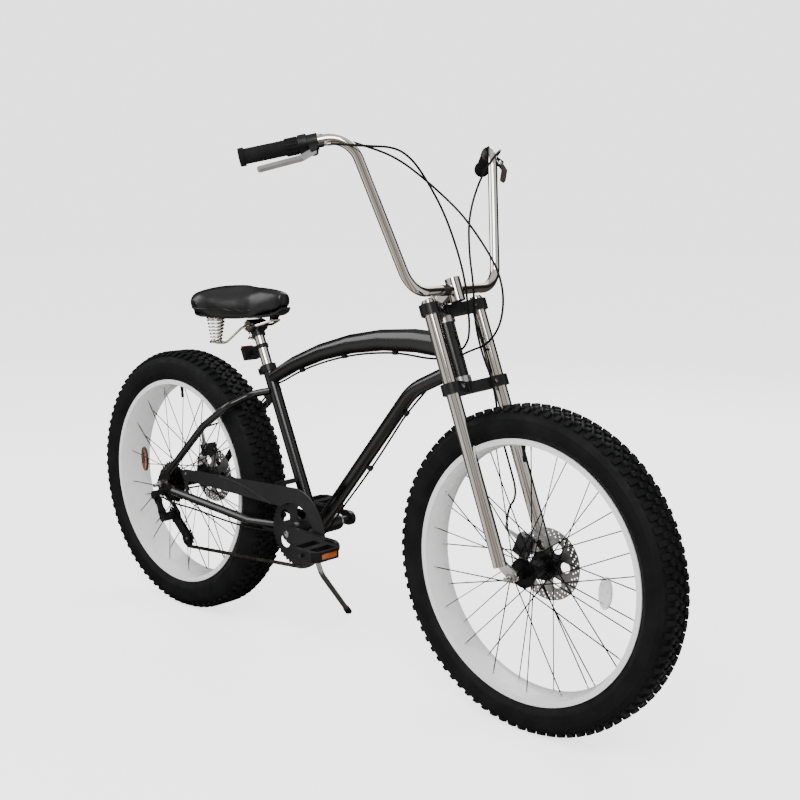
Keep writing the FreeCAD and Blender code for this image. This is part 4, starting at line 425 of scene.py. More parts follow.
def makeFinish(name, look):
    material = bpy.data.materials.new(name)
    material.use_nodes = True
    tree = material.node_tree
    shader = tree.nodes["Principled BSDF"]
    place = tree.nodes.new("ShaderNodeTexCoord").outputs["Object"]
    drift = tree.nodes.new("ShaderNodeGroup")
    drift.node_tree = finishDrift
    drift.inputs["Main Color"].default_value = (*look["main"], 1)
    drift.inputs["Worn Color"].default_value = (*look["worn"], 1)
    drift.inputs["Scale"].default_value = look["scale"]
    drift.inputs["Share"].default_value = look["share"]
    drift.inputs["Rough Low"].default_value, drift.inputs["Rough High"].default_value = look["rough"]
    grain = tree.nodes.new("ShaderNodeGroup")
    grain.node_tree = surfaceGrain
    grain.inputs["Scale"].default_value = look["grain"]
    grain.inputs["Cells"].default_value = look["cells"]
    bump = tree.nodes.new("ShaderNodeBump")
    bump.inputs["Strength"].default_value = look["bump"]
    bump.inputs["Distance"].default_value = 0.0006
    shader.inputs["Metallic"].default_value = look.get("metal", 0)
    shader.inputs["Coat Weight"].default_value = look.get("coat", 0)
    shader.inputs["Specular IOR Level"].default_value = look.get("shine", 0.4)
    shader.inputs["Coat Roughness"].default_value = look.get("coatRough", 0.06)
    link = tree.links.new
    link(place, drift.inputs["Vector"])
    link(place, grain.inputs["Vector"])
    link(drift.outputs["Color"], shader.inputs["Base Color"])
    link(drift.outputs["Roughness"], shader.inputs["Roughness"])
    link(grain.outputs["Height"], bump.inputs["Height"])
    link(bump.outputs["Normal"], shader.inputs["Normal"])
    return material


finish = {name: makeFinish(name, look) for name, look in finishes.items()}
print("finishes made,", len(finish))

# which solid wears which finish
nodeFinish = {
    "frameBlack": ["head_tube", "top_tube", "down_tube", "seat_tube", "bottom_bracket_shell", "rear_stays",
                   "rear_dropouts"],
    "crownBlack": ["fork_crowns", "seat_collar", "crank_set", "chainring", "kickstand_plate", "saddle_clamp",
                   "front_caliper", "rear_caliper"],
    "hubBlack": ["front_hub", "rear_hub"],
    "chrome": ["fork_legs", "stem", "handlebar", "seatpost", "saddle_rails", "saddle_springs"],
    "cupSilver": ["bearing_cups", "front_axle", "rear_axle"],
    "rimWhite": ["front_rim", "rear_rim"],
    "spokeBlack": ["front_spokes", "rear_spokes"],
    "tyreRubber": ["front_tyre", "rear_tyre"],
    "rotorSteel": ["front_rotor", "rear_rotor"],
    "chainSteel": ["chain", "freewheel"],
    "leverAlloy": ["right_brake_lever", "left_brake_lever", "front_caliper_arm", "rear_caliper_arm"],
    "standAlloy": ["kickstand_leg"],
    "mouldedBlack": ["shifter_housing", "brake_perches", "right_pedal", "left_pedal", "derailleur_mount",
                     "derailleur_link", "derailleur_knuckle", "derailleur_cage", "guide_pulley",
                     "tension_pulley", "rear_reflector"],
    "guardGrey": ["chain_guard"],
    "gripRubber": ["grips", "twist_shifter", "kickstand_tip"],
    "saddleVinyl": ["saddle_pad", "saddle_base"],
    "housingBlack": ["cable_housings", "front_brake_housing"],
}
smoothSolid, spokeSwell = smoothingGroup(), 0.0003
for finishName, members in nodeFinish.items():
    for member in members:
        solid = nodes[member]
        solid.data.materials.clear()
        solid.data.materials.append(finish[finishName])
        modifier = solid.modifiers.new("smoothSolid", "NODES")
        modifier.node_group = smoothSolid
        if finishName == "spokeBlack":
            swell = solid.modifiers.new("swell", "DISPLACE")
            swell.strength, swell.mid_level = spokeSwell, 0
print("solids dressed")


# camera at the photograph's place

photoCamera = {
    "spot": (1.9956, -1.8952, 1.0853), "azimuth": 43.19, "elevation": 8.95, "lens": 51.303, "sensor": 36.0,
}


def addCamera(look):
    azimuth, elevation = math.radians(look["azimuth"]), math.radians(look["elevation"])
    level = math.cos(elevation)
    back = Vector((math.sin(azimuth) * level, -math.cos(azimuth) * level, math.sin(elevation)))
    data = bpy.data.cameras.new("photoCamera")
    data.lens, data.sensor_width, data.sensor_fit = look["lens"], look["sensor"], "HORIZONTAL"
    data.clip_end = 100
    camera = bpy.data.objects.new("photoCamera", data)
    bpy.context.collection.objects.link(camera)
    camera.rotation_mode = "QUATERNION"
    camera.location = look["spot"]
    camera.rotation_quaternion = (-back).to_track_quat("-Z", "Y")
    bpy.context.scene.camera = camera


addCamera(photoCamera)

# cable housings on the routes of the solids

housingDiameter = 0.005
rearBrakeRoute = [
    (0.267, -0.277, 1.238), (0.286, -0.265, 1.239), (0.329, -0.225, 1.234), (0.336, -0.145, 1.236),
    (0.333, -0.09, 1.216), (0.339, -0.052, 1.176), (0.368, -0.026, 1.107), (0.4, -0.018, 1.028),
    (0.423, -0.018, 0.962), (0.428, -0.013, 0.907), (0.418, 0.006, 0.859), (0.392, 0.032, 0.817),
    (0.349, 0.037, 0.785), (0.3, 0.023, 0.774), (0.219, 0, 0.785), (0.146, 0, 0.78), (0.073, 0, 0.77),
    (0.001, 0, 0.754), (-0.069, 0, 0.733), (-0.138, 0, 0.707), (-0.23, 0.031, 0.672), (-0.29, 0.037, 0.654),
    (-0.347, 0.075, 0.615), (-0.422, 0.083, 0.564), (-0.583, 0.068, 0.51), (-0.627, 0.068, 0.495),
]
shiftRoute = [
    (0.23, -0.267, 1.257), (0.243, -0.255, 1.261), (0.275, -0.129, 1.233), (0.284, -0.071, 1.213),
    (0.304, -0.023, 1.179), (0.349, 0.019, 1.125), (0.397, 0.021, 1.084), (0.452, 0.021, 1.023),
    (0.487, 0.021, 0.973), (0.5, 0.021, 0.917), (0.489, 0.021, 0.859), (0.452, 0.023, 0.819),
    (0.403, 0.029, 0.803), (0.358, 0.042, 0.785), (0.316, 0.032, 0.745), (0.241, 0, 0.651),
    (0.199, 0, 0.597), (0.157, 0, 0.543), (0.113, 0, 0.489), (0.068, 0, 0.437), (0.022, 0, 0.386),
    (-0.029, -0.005, 0.315), (-0.054, -0.023, 0.294), (-0.16, -0.056, 0.302), (-0.25, -0.071, 0.298),
    (-0.352, -0.08, 0.303), (-0.455, -0.09, 0.316), (-0.543, -0.112, 0.324), (-0.585, -0.112, 0.336),
]
frontBrakeRoute = [
    (0.26, 0.285, 1.236), (0.279, 0.272, 1.237), (0.336, 0.213, 1.25), (0.352, 0.151, 1.215),
    (0.362, 0.097, 1.165), (0.371, 0.055, 1.091), (0.391, 0.035, 1.012), (0.405, 0.032, 0.952),
    (0.407, 0.034, 0.904), (0.408, 0.039, 0.853), (0.428, 0.04, 0.791), (0.457, 0.042, 0.735),
    (0.465, 0.057, 0.629), (0.491, 0.057, 0.56), (0.517, 0.057, 0.49),
    (0.482, 0.064, 0.45), (0.482, 0.064, 0.406),
]


def addHousing(name, route, node, sways):
    tube, path = smoothTube(name, route, housingDiameter / 2)
    finishPiece(tube, name, None if sways else "steering", finish["housingBlack"], 60)
    if sways:
        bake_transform(tube)
    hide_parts(node)
    return path


rearBrakePath = addHousing("rearBrakeHousing", rearBrakeRoute, "cable_housings", True)
shiftPath = addHousing("shiftHousing", shiftRoute, "cable_housings", True)
frontBrakePath = addHousing("frontBrakeHousing", frontBrakeRoute, "front_brake_housing", False)


# tyres: a smooth carcass and rows of square knobs

wheelLooks = {
    "front": dict(body="front_wheel", axle=frontAxle, radius=0.354, width=0.096, rim=0.076),
    "rear": dict(body="rear_wheel", axle=rearAxle, radius=0.3645, width=0.116, rim=0.1),
}
tread = {"knobs": 84, "height": 0.007, "long": 0.0128, "gap": 0.006, "bevel": 0.0016}


def arcThrough(first, middle, last, count):
    a, b, c = [complex(*point) for point in (first, middle, last)]
    w = (c - a) / (b - a)
    centre = a + (b - a) * (w - abs(w) ** 2) / (2j * w.imag)
    radius = abs(a - centre)
    begin = math.atan2((a - centre).imag, (a - centre).real)
    turn = math.atan2(((c - centre) / (a - centre)).imag, ((c - centre) / (a - centre)).real)
    angles = [begin + turn * step / count for step in range(count + 1)]
    points = [centre + radius * complex(math.cos(angle), math.sin(angle)) for angle in angles]
    return [(point.real, point.imag) for point in points]


def addTyre(end, look):
    half, crown = look["width"] / 2, look["radius"] - tread["height"]
    bead, flange, side = 0.2795, 0.2858, look["rim"] / 2 - 0.0033
    height = crown - bead
    shoulder = (crown - height * 0.13, half * 0.86)
    crownEdge = (crown, half * 0.46)
    wall = arcThrough((flange, side), (bead + height * 0.42, half), shoulder, 14)
    ridged = []
    for index, (radius, out) in enumerate(wall):
        ridged.append((radius, out + (0.0011 if index in (4, 5, 11) else 0)))
    slopeMiddle = ((shoulder[0] + crown) / 2 + 0.0012, (shoulder[1] + crownEdge[1]) / 2)
    outer = [(bead, side)] + ridged + [slopeMiddle, crownEdge]
    profile = outer + [(crown + 0.0006, 0)] + [(radius, -out) for radius, out in outer[::-1]] + outer[:1]
    carcass = lathe(profile, look["axle"], 160)
    slope = math.atan2(crown - shoulder[0], shoulder[1] - crownEdge[1])
    rows = []
    width = crownEdge[1] - tread["gap"]
    for shift, phase in ((0, 0), (width + tread["gap"] * 0.4, 0.5)):
        rows.append((Vector((crown, 0, shift)), 0, width * (0.82 if shift else 0.7), phase))
    along = math.hypot(crown - shoulder[0], shoulder[1] - crownEdge[1])
    rows.append((Vector((crown, 0, crownEdge[1])), slope, along * 0.86, 0))
    pieces = [carcass]
    for spot, tilt, wide, phase in rows:
        for hand in ((1,) if spot.z == 0 else (1, -1)):
            knob = roundedBox((tread["height"] * 1.7, tread["long"], wide), tread["bevel"], 1)
            shiftOut = wide * 0.5 if tilt else 0
            stand = Matrix.Translation(Vector((tread["height"] * 0.1, 0, shiftOut)))
            lean = Matrix.Translation(Vector((spot.x, 0, spot.z))) @ Matrix.Rotation(-tilt, 4, "Y") @ stand
            flip = Matrix.Diagonal((1, 1, hand, 1))
            places = []
            for index in range(tread["knobs"]):
                turn = Matrix.Rotation((index + phase) * 2 * math.pi / tread["knobs"], 4, "Z")
                lay = Matrix.Translation(look["axle"]) @ Matrix.Rotation(-math.pi / 2, 4, "X")
                places.append(lay @ turn @ flip @ lean)
            pieces.append(joinCopies(knob, places))
    for row in pieces[1:]:
        pick(row)
        bpy.ops.object.mode_set(mode="EDIT")
        bpy.ops.mesh.select_all(action="SELECT")
        bpy.ops.mesh.normals_make_consistent(inside=False)
        bpy.ops.object.mode_set(mode="OBJECT")
    pick(*pieces)
    bpy.ops.object.join()
    whole, body = bpy.context.object, look["body"]
    tyre = finishPiece(whole, end + "Tyre", body, finish["tyreRubber"], 32)
    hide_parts(end + "_tyre")


for end, look in wheelLooks.items():
    addTyre(end, look)
print("tyres made")


# spoke nipples, valves and spoke reflectors

rimInner, spokeCircle, spokeLean, nippleSide = 0.268, 0.028, math.radians(66), 0.017
nippleLook = {"base": 0.0023, "tip": 0.0015, "long": 0.01, "perSide": 18}
reflectorLooks = {
    "front": dict(
        middle=Vector((0.7977, -0.02, 0.35)), finish="clearLens", turn=0.03, size=(0.015, 0.008, 0.034),
    ),
    "rear": dict(
        middle=Vector((-0.794, -0.017, 0.395)), finish="smokedLens", turn=-0.06, size=(0.014, 0.008, 0.036),
    ),
}


def wheelSpot(axle, radius, angle, side):
    return axle + Vector((radius * math.cos(angle), side, -radius * math.sin(angle)))


def addNipples(end, look):
    clearPick()
    size = nippleLook
    bpy.ops.mesh.primitive_cone_add(vertices=8, radius1=size["base"], radius2=size["tip"], depth=size["long"],
                                    location=(0, 0, size["long"] / 2))
    nipple = bpy.context.object
    bpy.ops.object.transform_apply(location=True, rotation=False, scale=False)
    bpy.ops.object.mode_set(mode="EDIT")
    bpy.ops.mesh.select_all(action="SELECT")
    bpy.ops.mesh.bevel(offset=size["tip"] * 0.3, segments=1)
    bpy.ops.object.mode_set(mode="OBJECT")
    flange = 0.036 if end == "front" else 0.046
    places = []
    for side in (1, -1):
        for index in range(size["perSide"]):
            angle = (index + (1 - side) / 4) * 2 * math.pi / size["perSide"]
            lean = angle + (1 if index % 2 else -1) * spokeLean
            spot = wheelSpot(look["axle"], rimInner + 0.001, angle, side * nippleSide)
            hubSpot = wheelSpot(look["axle"], spokeCircle, lean, side * flange)
            places.append(facing(spot, hubSpot - spot))
    finishPiece(joinCopies(nipple, places), end + "Nipples", look["body"], finish["cupSilver"])


def addValve(end, look):
    outline = [(0, 0), (0.0052, 0), (0.0052, 0.006), (0.0042, 0.01), (0.0034, 0.026), (0.0042, 0.0265),
               (0.0044, 0.036), (0.003, 0.039), (0, 0.039)]
    stem = lathe(outline, Vector((0, 0, 0)), 20)
    pick(stem)
    angle = math.radians(-97)
    spot = wheelSpot(look["axle"], rimInner + 0.001, angle, 0)
    turn = left.rotation_difference(look["axle"] - spot).to_matrix().to_4x4()
    stem.matrix_world = Matrix.Translation(spot) @ turn
    finishPiece(stem, end + "Valve", look["body"], finish["mouldedBlack"])


def addSpokeReflector(end, look):
    lens = reflectorLooks[end]
    clearPick()
    bpy.ops.mesh.primitive_cylinder_add(vertices=40, radius=1, depth=1, rotation=(math.pi / 2, 0, 0))
    shell = bpy.context.object
    bpy.ops.object.transform_apply(location=False, rotation=True, scale=False)
    shell.scale = lens["size"]
    bpy.ops.object.transform_apply(location=False, rotation=False, scale=True)
    bpy.ops.object.mode_set(mode="EDIT")
    bpy.ops.mesh.select_all(action="SELECT")
    bpy.ops.mesh.bevel(offset=0.0014, segments=2)
    bpy.ops.mesh.select_mode(type="FACE")
    bpy.ops.mesh.select_all(action="DESELECT")
    bpy.ops.object.mode_set(mode="OBJECT")
    for face in shell.data.polygons:
        face.select = abs(face.normal.y) > 0.99
    bpy.ops.object.mode_set(mode="EDIT")
    bpy.ops.mesh.inset(thickness=0.0022, depth=-0.0012)
    bpy.ops.mesh.select_mode(type="VERT")
    bpy.ops.object.mode_set(mode="OBJECT")
    shell.matrix_world = Matrix.Translation(lens["middle"]) @ Matrix.Rotation(lens["turn"], 4, "Y")
    finishPiece(shell, end + "SpokeReflector", look["body"], finish[lens["finish"]])


# the brake discs get their drilled band
rotorLook = {"front": 0.055, "rear": 0.08, "hole": 0.0021, "perRow": 30, "rows": (0.945, 0.875, 0.805)}


def addRotor(end, look):
    source = nodes[end + "_rotor"]
    disc = bpy.data.objects.new(end + "Rotor", source.data.copy())
    bpy.context.collection.objects.link(disc)
    disc.matrix_world = source.matrix_world
    weld = disc.modifiers.new("weld", "WELD")
    weld.merge_threshold = 0.00001
    applyAll(disc)
    bpy.ops.mesh.customdata_custom_splitnormals_clear()
    low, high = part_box(end + "_rotor")
    radius = (high.x - low.x) / 2
    clearPick()
    bpy.ops.mesh.primitive_cylinder_add(vertices=12, radius=rotorLook["hole"], depth=0.012)
    drill = bpy.context.object
    places = []
    for row, share in enumerate(rotorLook["rows"]):
        for step in range(rotorLook["perRow"]):
            angle = 2 * math.pi * (step + row / 3) / rotorLook["perRow"]
            places.append(facing(wheelSpot(look["axle"], radius * share, angle, rotorLook[end]), left))
    drills = joinCopies(drill, places)
    cut = disc.modifiers.new("cut", "BOOLEAN")
    cut.operation, cut.solver, cut.object = "DIFFERENCE", "EXACT", drills
    finishPiece(disc, end + "Rotor", look["body"], finish["rotorSteel"])
    bpy.data.objects.remove(drills)
    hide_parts(end + "_rotor")


for end, look in wheelLooks.items():
    addNipples(end, look)
    addValve(end, look)
    addSpokeReflector(end, look)
    addRotor(end, look)
print("wheel fittings made")

# bolts, nuts and caps

bpy.context.view_layer.update()
crownHeights, legLead, legHalf = (0.413, 0.589), 0.04, 0.08
bracket = jointPlace["crank_spin"]
guide, tension = jointPlace["guide_pulley_spin"], jointPlace["tension_pulley_spin"]


# radius and height of each kind
boltSizes = {
    "rotor": (0.0026, 0.0022), "crown": (0.0048, 0.004), "legCap": (0.0132, 0.005),
    "axleNut": (0.0112, 0.0095), "crank": (0.0085, 0.0035), "pulley": (0.0042, 0.0024),
    "rivet": (0.0042, 0.0022), "ferrule": (0.0036, 0.013),
}
rotorBoltCircle, rotorBoltCount, seatDepth = 0.0225, 6, 0.0002


def addBolts(name, body, kind, places, sides=24, finishName="boltSteel"):
    radius, height = boltSizes[kind]
    heads = joinCopies(boltHead(radius, height, sides), places)
    finishPiece(heads, name, body, finish[finishName])


def ringPlaces(axle, side):
    places = []
    for step in range(rotorBoltCount):
        angle = 2 * math.pi * (step + 0.5) / rotorBoltCount
        places.append(facing(wheelSpot(axle, rotorBoltCircle, angle, side), left))
    return places


addBolts("frontRotorBolts", "front_wheel", "rotor", ringPlaces(frontAxle, 0.0555))
addBolts("rearRotorBolts", "rear_wheel", "rotor", ringPlaces(rearAxle, 0.0805))

crownPlaces = []
for height in crownHeights:
    for side in (0.056, -0.056):
        start = steerSpot(0.2, side, height)
        crownPlaces.append(facing(faceSpot("fork_crowns", start, -steerAhead), steerAhead))
addBolts("crownBolts", "steering", "crown", crownPlaces)
legCaps = [facing(steerSpot(legLead, side * legHalf, crownHeights[1] + 0.016), steerUp) for side in (1, -1)]
addBolts("legCaps", "steering", "legCap", legCaps, finishName="chrome")

for axle, face, name, body in (
    (frontAxle, 0.0735, "frontAxleNuts", "steering"), (rearAxle, 0.101, "rearAxleNuts", "frame"),
):
    places = [facing(axle + left * side * (face - seatDepth), left * side) for side in (1, -1)]
    addBolts(name, body, "axleNut", places, 6)
crankPlaces = [facing(bracket + left * side * 0.1098, left * side) for side in (1, -1)]
addBolts("crankBolts", "crank", "crank", crankPlaces)
cageSpots = [faceSpot("derailleur_cage", spot - left * 0.2, left) for spot in (guide, tension)]
addBolts("pulleyBolts", "derailleur_cage", "pulley", [facing(spot, -left) for spot in cageSpots])
rivet = Vector((-0.4942, 0, 0.4081))
rivetSpot = faceSpot("chain_guard", rivet - left * 0.3, left)
addBolts("guardRivet", "frame", "rivet", [facing(rivetSpot, -left)])
print("bolts made")

# pedal reflectors and the rear reflector's lens


pedalLens, pedalLensBevel = (0.004, 0.046, 0.012), 0.0014

for hand in ("right", "left"):
    low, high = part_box(hand + "_pedal")
    middle = (low + high) / 2
    for face, name in ((high.x, "Front"), (low.x, "Back")):
        plate = roundedBox(pedalLens, pedalLensBevel, 2)
        plate.location = (face, middle.y, middle.z)
        lensName = hand + "Pedal" + name + "Lens"
        finishPiece(plate, lensName, hand + "_pedal", finish["amberLens"])
low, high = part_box("rear_reflector")
lensMiddle = (low + high) / 2
lensSpots = []
for shift in (-0.006, 0.006):
    lensSpots.append(faceSpot("rear_reflector", lensMiddle + up * shift - ahead * 0.3, ahead))
lens = roundedBox(((high.y - low.y) * 0.84, 0.003, (high.z - low.z) * 0.5), 0.0012, 2)
lensLean = math.atan2(lensSpots[1].x - lensSpots[0].x, lensSpots[1].z - lensSpots[0].z)
lensStand = Matrix.Rotation(lensLean, 4, "Y") @ Matrix.Rotation(math.pi / 2, 4, "Z")
lens.matrix_world = Matrix.Translation((lensSpots[0] + lensSpots[1]) / 2) @ lensStand
finishPiece(lens, "rearLens", "seatpost", finish["redLens"])

# cable ferrules and frame clips


def ferrulePlaces(path):
    return [facing(path[0], path[2] - path[0]), facing(path[-1], path[-3] - path[-1])]


rearBrakeEnds, shiftEnds = ferrulePlaces(rearBrakePath), ferrulePlaces(shiftPath)
barEnds = [rearBrakeEnds[0], shiftEnds[0]] + ferrulePlaces(frontBrakePath)
addBolts("leverFerrules", "steering", "ferrule", barEnds, 16)
addBolts("frameFerrules", "frame", "ferrule", [rearBrakeEnds[1], shiftEnds[1]], 16)


def clipPlaces(path, marks):
    places = []
    for mark in marks:
        inner = range(1, len(path) - 1)
        index = min(inner, key=lambda step: abs(path[step].x - mark) + path[step].y ** 2 * 40)
        run = path[index + 1] - path[index - 1]
        lift = Vector((-run.z, 0, run.x)) if run.x > 0 else Vector((run.z, 0, -run.x))
        places.append(facing(path[index] + lift.normalized() * 0.0015, run))
    return places


clip = roundedBox((0.011, 0.0105, 0.013), 0.0022, 2)
clipSpots = clipPlaces(rearBrakePath, (0.2, 0.03, -0.12)) + clipPlaces(shiftPath, (0.24, 0.12))
clips = joinCopies(clip, clipSpots)
finishPiece(clips, "cableClips", "frame", finish["mouldedBlack"])

# the bar's knurled patch beside the stem and the raised crease of the chain guard

barMiddle = Vector((0.380859, 0, 0.936266))
knurlCore, knurlHalf = 0.0108, 0.011
ridges = [(0.0112 + 0.0007 * (step % 2), -knurlHalf + 0.001 * (22 - step)) for step in range(23)]
knurlEdge = (knurlCore, knurlHalf)
knurl = lathe([knurlEdge] + ridges + [(knurlCore, -knurlHalf), knurlEdge], barMiddle - left * 0.034, 36)
finishPiece(knurl, "barKnurl", "steering", finish["crownBlack"], 20)
guardFace = rivetSpot.y
creasePoints = [
    (-0.3498, 0.4235), (-0.3, 0.421), (-0.2633, 0.4159), (-0.22, 0.407), (-0.1765, 0.3936), (-0.141, 0.3845),
]
crease, path = smoothTube("guardCrease", [(x, guardFace, z) for x, z in creasePoints], 0.0016)
finishPiece(crease, "guardCrease", "frame", finish["guardGrey"], 60)
print("small fittings made")

# saddle: the pad is filled by a pressure simulation, then gets its piping, springs and nose flap

padLook = {"voxel": 0.0045, "pressure": 4, "frames": 20, "cap": 0.006, "fill": 0.8}
springLook = {
    "back": -0.379331, "side": 0.064, "low": 0.7772, "high": 0.8358,
    "bottom": 0.012, "top": 0.0235, "turns": 8, "wire": 0.0025,
}


def pushArea(obj, middle, reach, move, only):
    pick(obj)
    bpy.ops.object.mode_set(mode="EDIT")
    bpy.ops.mesh.select_mode(type="VERT")
    bpy.ops.mesh.select_all(action="DESELECT")
    bpy.ops.object.mode_set(mode="OBJECT")
    for vertex in obj.data.vertices:
        vertex.select = only(vertex.co) and (vertex.co - middle).length < reach
    bpy.ops.object.mode_set(mode="EDIT")
    bpy.ops.transform.translate(value=move, use_proportional_edit=True, proportional_edit_falloff="SMOOTH",
                                proportional_size=reach)
    bpy.ops.object.mode_set(mode="OBJECT")


def fillPad(pad):
    start = [vertex.co.copy() for vertex in pad.data.vertices]
    lowest = min(spot.z for spot in start)
    hold = pad.vertex_groups.new(name="hold")
    hold.add([index for index, spot in enumerate(start) if spot.z < lowest + 0.006], 1, "REPLACE")
    cloth = pad.modifiers.new("fill", "CLOTH")
    cloth.settings.use_pressure = True
    cloth.settings.uniform_pressure_force = padLook["pressure"]
    cloth.settings.effector_weights.gravity = 0
    cloth.settings.vertex_group_mass = "hold"
    cloth.point_cache.frame_start, cloth.point_cache.frame_end = 1, padLook["frames"]
    for step in range(1, padLook["frames"] + 1):
        bpy.context.scene.frame_set(step)
    pick(pad)
    bpy.ops.object.modifier_apply(modifier=cloth.name)
    bpy.context.scene.frame_set(1)
    for vertex, spot in zip(pad.data.vertices, start):
        move = vertex.co - spot
        if move.length > padLook["cap"]:
            vertex.co = spot + move.normalized() * padLook["cap"]
    calm = pad.modifiers.new("calm", "SMOOTH")
    calm.factor, calm.iterations = 0.5, 14


def addSaddle():
    source = nodes["saddle_pad"]
    pad = bpy.data.objects.new("saddlePad", source.data.copy())
    bpy.context.collection.objects.link(pad)
    pad.matrix_world = source.matrix_world
    low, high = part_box("saddle_pad")
    remesh = pad.modifiers.new("remesh", "REMESH")
    remesh.mode, remesh.voxel_size = "VOXEL", padLook["voxel"]
    soften = pad.modifiers.new("soften", "SMOOTH")
    soften.factor, soften.iterations = 0.5, 18
    applyAll(pad)
    noseUnder = Vector((high.x, 0, low.z))
    pushArea(pad, noseUnder, 0.075, (0.002, 0, 0.003), lambda spot: spot.z < low.z + 0.03)
    for side in (1, -1):
        lobe = Vector((high.x - 0.12, side * 0.09, low.z))
        pushArea(pad, lobe, 0.06, (0, 0, -0.01), lambda spot: spot.y * side > 0.05)
    fillPad(pad)
    subdivide = pad.modifiers.new("subdivide", "SUBSURF")
    subdivide.levels = 1
    finishPiece(pad, "saddlePad", "saddle", finish["saddleVinyl"], 70)
    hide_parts("saddle_pad")
    return pad, low, high


def addPiping(pad, low, high):
    middle = Vector(((low.x + high.x) / 2, 0, 0))
    height, count = low.z + 0.014, 64
    ring = []
    for step in range(count):
        angle = 2 * math.pi * step / count
        way = Vector((math.cos(angle), math.sin(angle), 0))
        far = None
        for vertex in pad.data.vertices:
            offset = Vector((vertex.co.x, vertex.co.y, 0)) - middle
            level = abs(vertex.co.z - height) < 0.003
            if level and offset.length > 0 and offset.normalized().dot(way) > 0.996:
                if far is None or offset.length > far[0]:
                    far = (offset.length, vertex.co.copy())
        if far and far[1].x < high.x - 0.085:
            ring.append(far[1])
    piping, path = smoothTube("saddlePiping", ring, 0.0019)
    finishPiece(piping, "saddlePiping", "saddle", finish["saddleVinyl"], 60)


def addSprings():
    size = springLook
    perTurn = 16
    steps = size["turns"] * perTurn
    for side, name in ((1, "left"), (-1, "right")):
        points = []
        for step in range(steps + 1):
            share = step / steps
            radius = size["bottom"] + (size["top"] - size["bottom"]) * share
            angle = 2 * math.pi * step / perTurn
            rise = size["low"] + (size["high"] - size["low"]) * min(1, max(0, (share - 0.08) / 0.84))
            out = side * size["side"] + radius * math.sin(angle)
            points.append((size["back"] + radius * math.cos(angle), out, rise))
        coil, path = smoothTube(name + "Spring", points, size["wire"], sides=3)
        finishPiece(coil, name + "SaddleSpring", "saddle_frame", finish["chrome"], 60)
        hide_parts("saddle_springs")
        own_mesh(coil)


saddlePad, padLow, padHigh = addSaddle()
addPiping(saddlePad, padLow, padHigh)
addSprings()
flap = roundedBox((0.006, 0.048, 0.052), 0.0026, 2)
pick(flap)
bpy.ops.object.mode_set(mode="EDIT")
bpy.ops.mesh.select_all(action="DESELECT")
bpy.ops.object.mode_set(mode="OBJECT")
for vertex in flap.data.vertices:
    vertex.select = vertex.co.z < 0
bpy.ops.object.mode_set(mode="EDIT")
bpy.ops.transform.resize(value=(1, 0.55, 1), center_override=(0, 0, 0))
bpy.ops.object.mode_set(mode="OBJECT")
flapSpot = Matrix.Translation((padHigh.x - 0.037, 0, padLow.z + 0.014))
flap.matrix_world = flapSpot @ Matrix.Rotation(0.45, 4, "Y")
finishPiece(flap, "noseFlap", "saddle", finish["saddleVinyl"])
print("saddle made")


# pale floor that glows evenly to the camera and shows painted room streaks in reflections, soft studio light
# and a softly shaded room

studio = {
    "floor": 60, "key": 260, "fill": 110, "back": 120,
    "room": 0.75, "paper": 3.1, "floorGlow": 2.1, "floorMirror": 0.75,
}


# light and dark by heading, as a photographer's room mirrors in chrome
def roomStreaks(tree, heading):
    lean = tree.nodes.new("ShaderNodeVectorMath")
    lean.operation = "DOT_PRODUCT"
    lean.inputs[1].default_value = (0.684, -0.729, 0)
    tree.links.new(heading, lean.inputs[0])
    ramp = tree.nodes.new("ShaderNodeValToRGB")
    stops = ramp.color_ramp.elements
    stops[0].position, stops[0].color = 0, (0.02, 0.017, 0.014, 1)
    stops[1].position, stops[1].color = 1, (0.3, 0.24, 0.17, 1)
    for position, colour in ((0.46, (0.03, 0.024, 0.018, 1)), (0.52, (0.95, 0.94, 0.92, 1)),
                             (0.8, (1, 1, 1, 1)), (0.88, (0.14, 0.1, 0.065, 1)),
                             (0.95, (0.8, 0.78, 0.74, 1))):
        stops.new(position).color = colour
    tree.links.new(spread(tree, lean.outputs["Value"], 0, 1, -1, 1), ramp.inputs[0])
    return ramp.outputs["Color"]


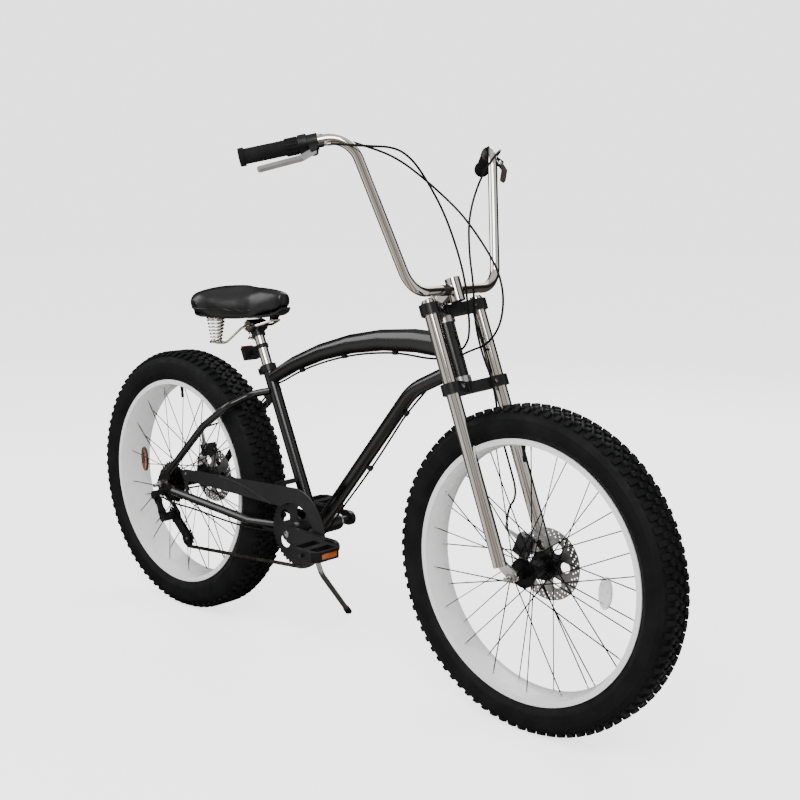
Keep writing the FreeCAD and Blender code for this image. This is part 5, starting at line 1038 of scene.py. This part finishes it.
def addStudio():
    clearPick()
    bpy.ops.mesh.primitive_plane_add(size=studio["floor"], location=(0, 0, -0.0005))
    floor = bpy.context.object
    floor.name = "studioFloor"
    paper = bpy.data.materials.new("floorPaper")
    paper.use_nodes = True
    tree = paper.node_tree
    shader = tree.nodes["Principled BSDF"]
    shader.inputs["Roughness"].default_value = 0.85
    place = tree.nodes.new("ShaderNodeTexCoord").outputs["Object"]
    drift = tree.nodes.new("ShaderNodeGroup")
    drift.node_tree = finishDrift
    drift.inputs["Main Color"].default_value = (0.9, 0.9, 0.9, 1)
    drift.inputs["Worn Color"].default_value = (0.88, 0.88, 0.88, 1)
    drift.inputs["Scale"].default_value = 0.4
    tree.links.new(place, drift.inputs["Vector"])
    # painted reflection: to the camera the floor glows evenly pale, but in reflections its colour turns dark
    # and it glows with the painted room streaks of light and dark
    sight = tree.nodes.new("ShaderNodeLightPath")
    seen, mirrored = sight.outputs["Is Camera Ray"], sight.outputs["Is Glossy Ray"]
    heading = tree.nodes.new("ShaderNodeVectorMath")
    heading.operation = "NORMALIZE"
    tree.links.new(place, heading.inputs[0])
    dark, white = tree.nodes.new("ShaderNodeRGB").outputs[0], tree.nodes.new("ShaderNodeRGB").outputs[0]
    dark.default_value, white.default_value = (0.03, 0.026, 0.022, 1), (1, 1, 1, 1)
    tree.links.new(mixColour(tree, mirrored, drift.outputs["Color"], dark), shader.inputs["Base Color"])
    streaks = roomStreaks(tree, heading.outputs["Vector"])
    tree.links.new(mixColour(tree, mirrored, white, streaks), shader.inputs["Emission Color"])
    mirrorGlow = spread(tree, mirrored, 0, studio["floorMirror"], 0, 1)
    glow = spread(tree, seen, mirrorGlow, studio["floorGlow"], 0, 1)
    tree.links.new(glow, shader.inputs["Emission Strength"])
    floor.data.materials.append(paper)
    for name, energy, size, spot in (
        ("keyLight", studio["key"], 3.2, (2.6, -3.4, 4.2)),
        ("fillLight", studio["fill"], 3.0, (-3.4, -2.6, 3.0)),
        ("backLight", studio["back"], 3.4, (-1.2, 3.6, 3.6)),
    ):
        data = bpy.data.lights.new(name, "AREA")
        data.energy, data.size = energy, size
        lamp = bpy.data.objects.new(name, data)
        bpy.context.collection.objects.link(lamp)
        lamp.location = spot
        lamp.rotation_mode = "QUATERNION"
        lamp.rotation_quaternion = (Vector((0, 0, 0.6)) - Vector(spot)).to_track_quat("-Z", "Y")
    world = bpy.data.worlds.new("studioRoom")
    bpy.context.scene.world = world
    world.use_nodes = True
    room = world.node_tree
    way = room.nodes.new("ShaderNodeTexCoord").outputs["Generated"]
    split = room.nodes.new("ShaderNodeSeparateXYZ")
    room.links.new(way, split.inputs[0])
    streaks = roomStreaks(room, way)
    white = room.nodes.new("ShaderNodeRGB").outputs[0]
    white.default_value = (1, 1, 1, 1)
    sky = mixColour(room, spread(room, split.outputs["Z"], 0, 1, 0.5, 0.95), streaks, white)
    background = room.nodes["Background"]
    room.links.new(sky, background.inputs["Color"])
    background.inputs["Strength"].default_value = studio["room"]
    paperGlow = room.nodes.new("ShaderNodeBackground")
    paperGlow.inputs["Strength"].default_value = studio["paper"]
    sight = room.nodes.new("ShaderNodeLightPath")
    choose = room.nodes.new("ShaderNodeMixShader")
    room.links.new(sight.outputs["Is Camera Ray"], choose.inputs[0])
    room.links.new(background.outputs[0], choose.inputs[1])
    room.links.new(paperGlow.outputs[0], choose.inputs[2])
    room.links.new(choose.outputs[0], room.nodes["World Output"].inputs["Surface"])


addStudio()

print("scene done")
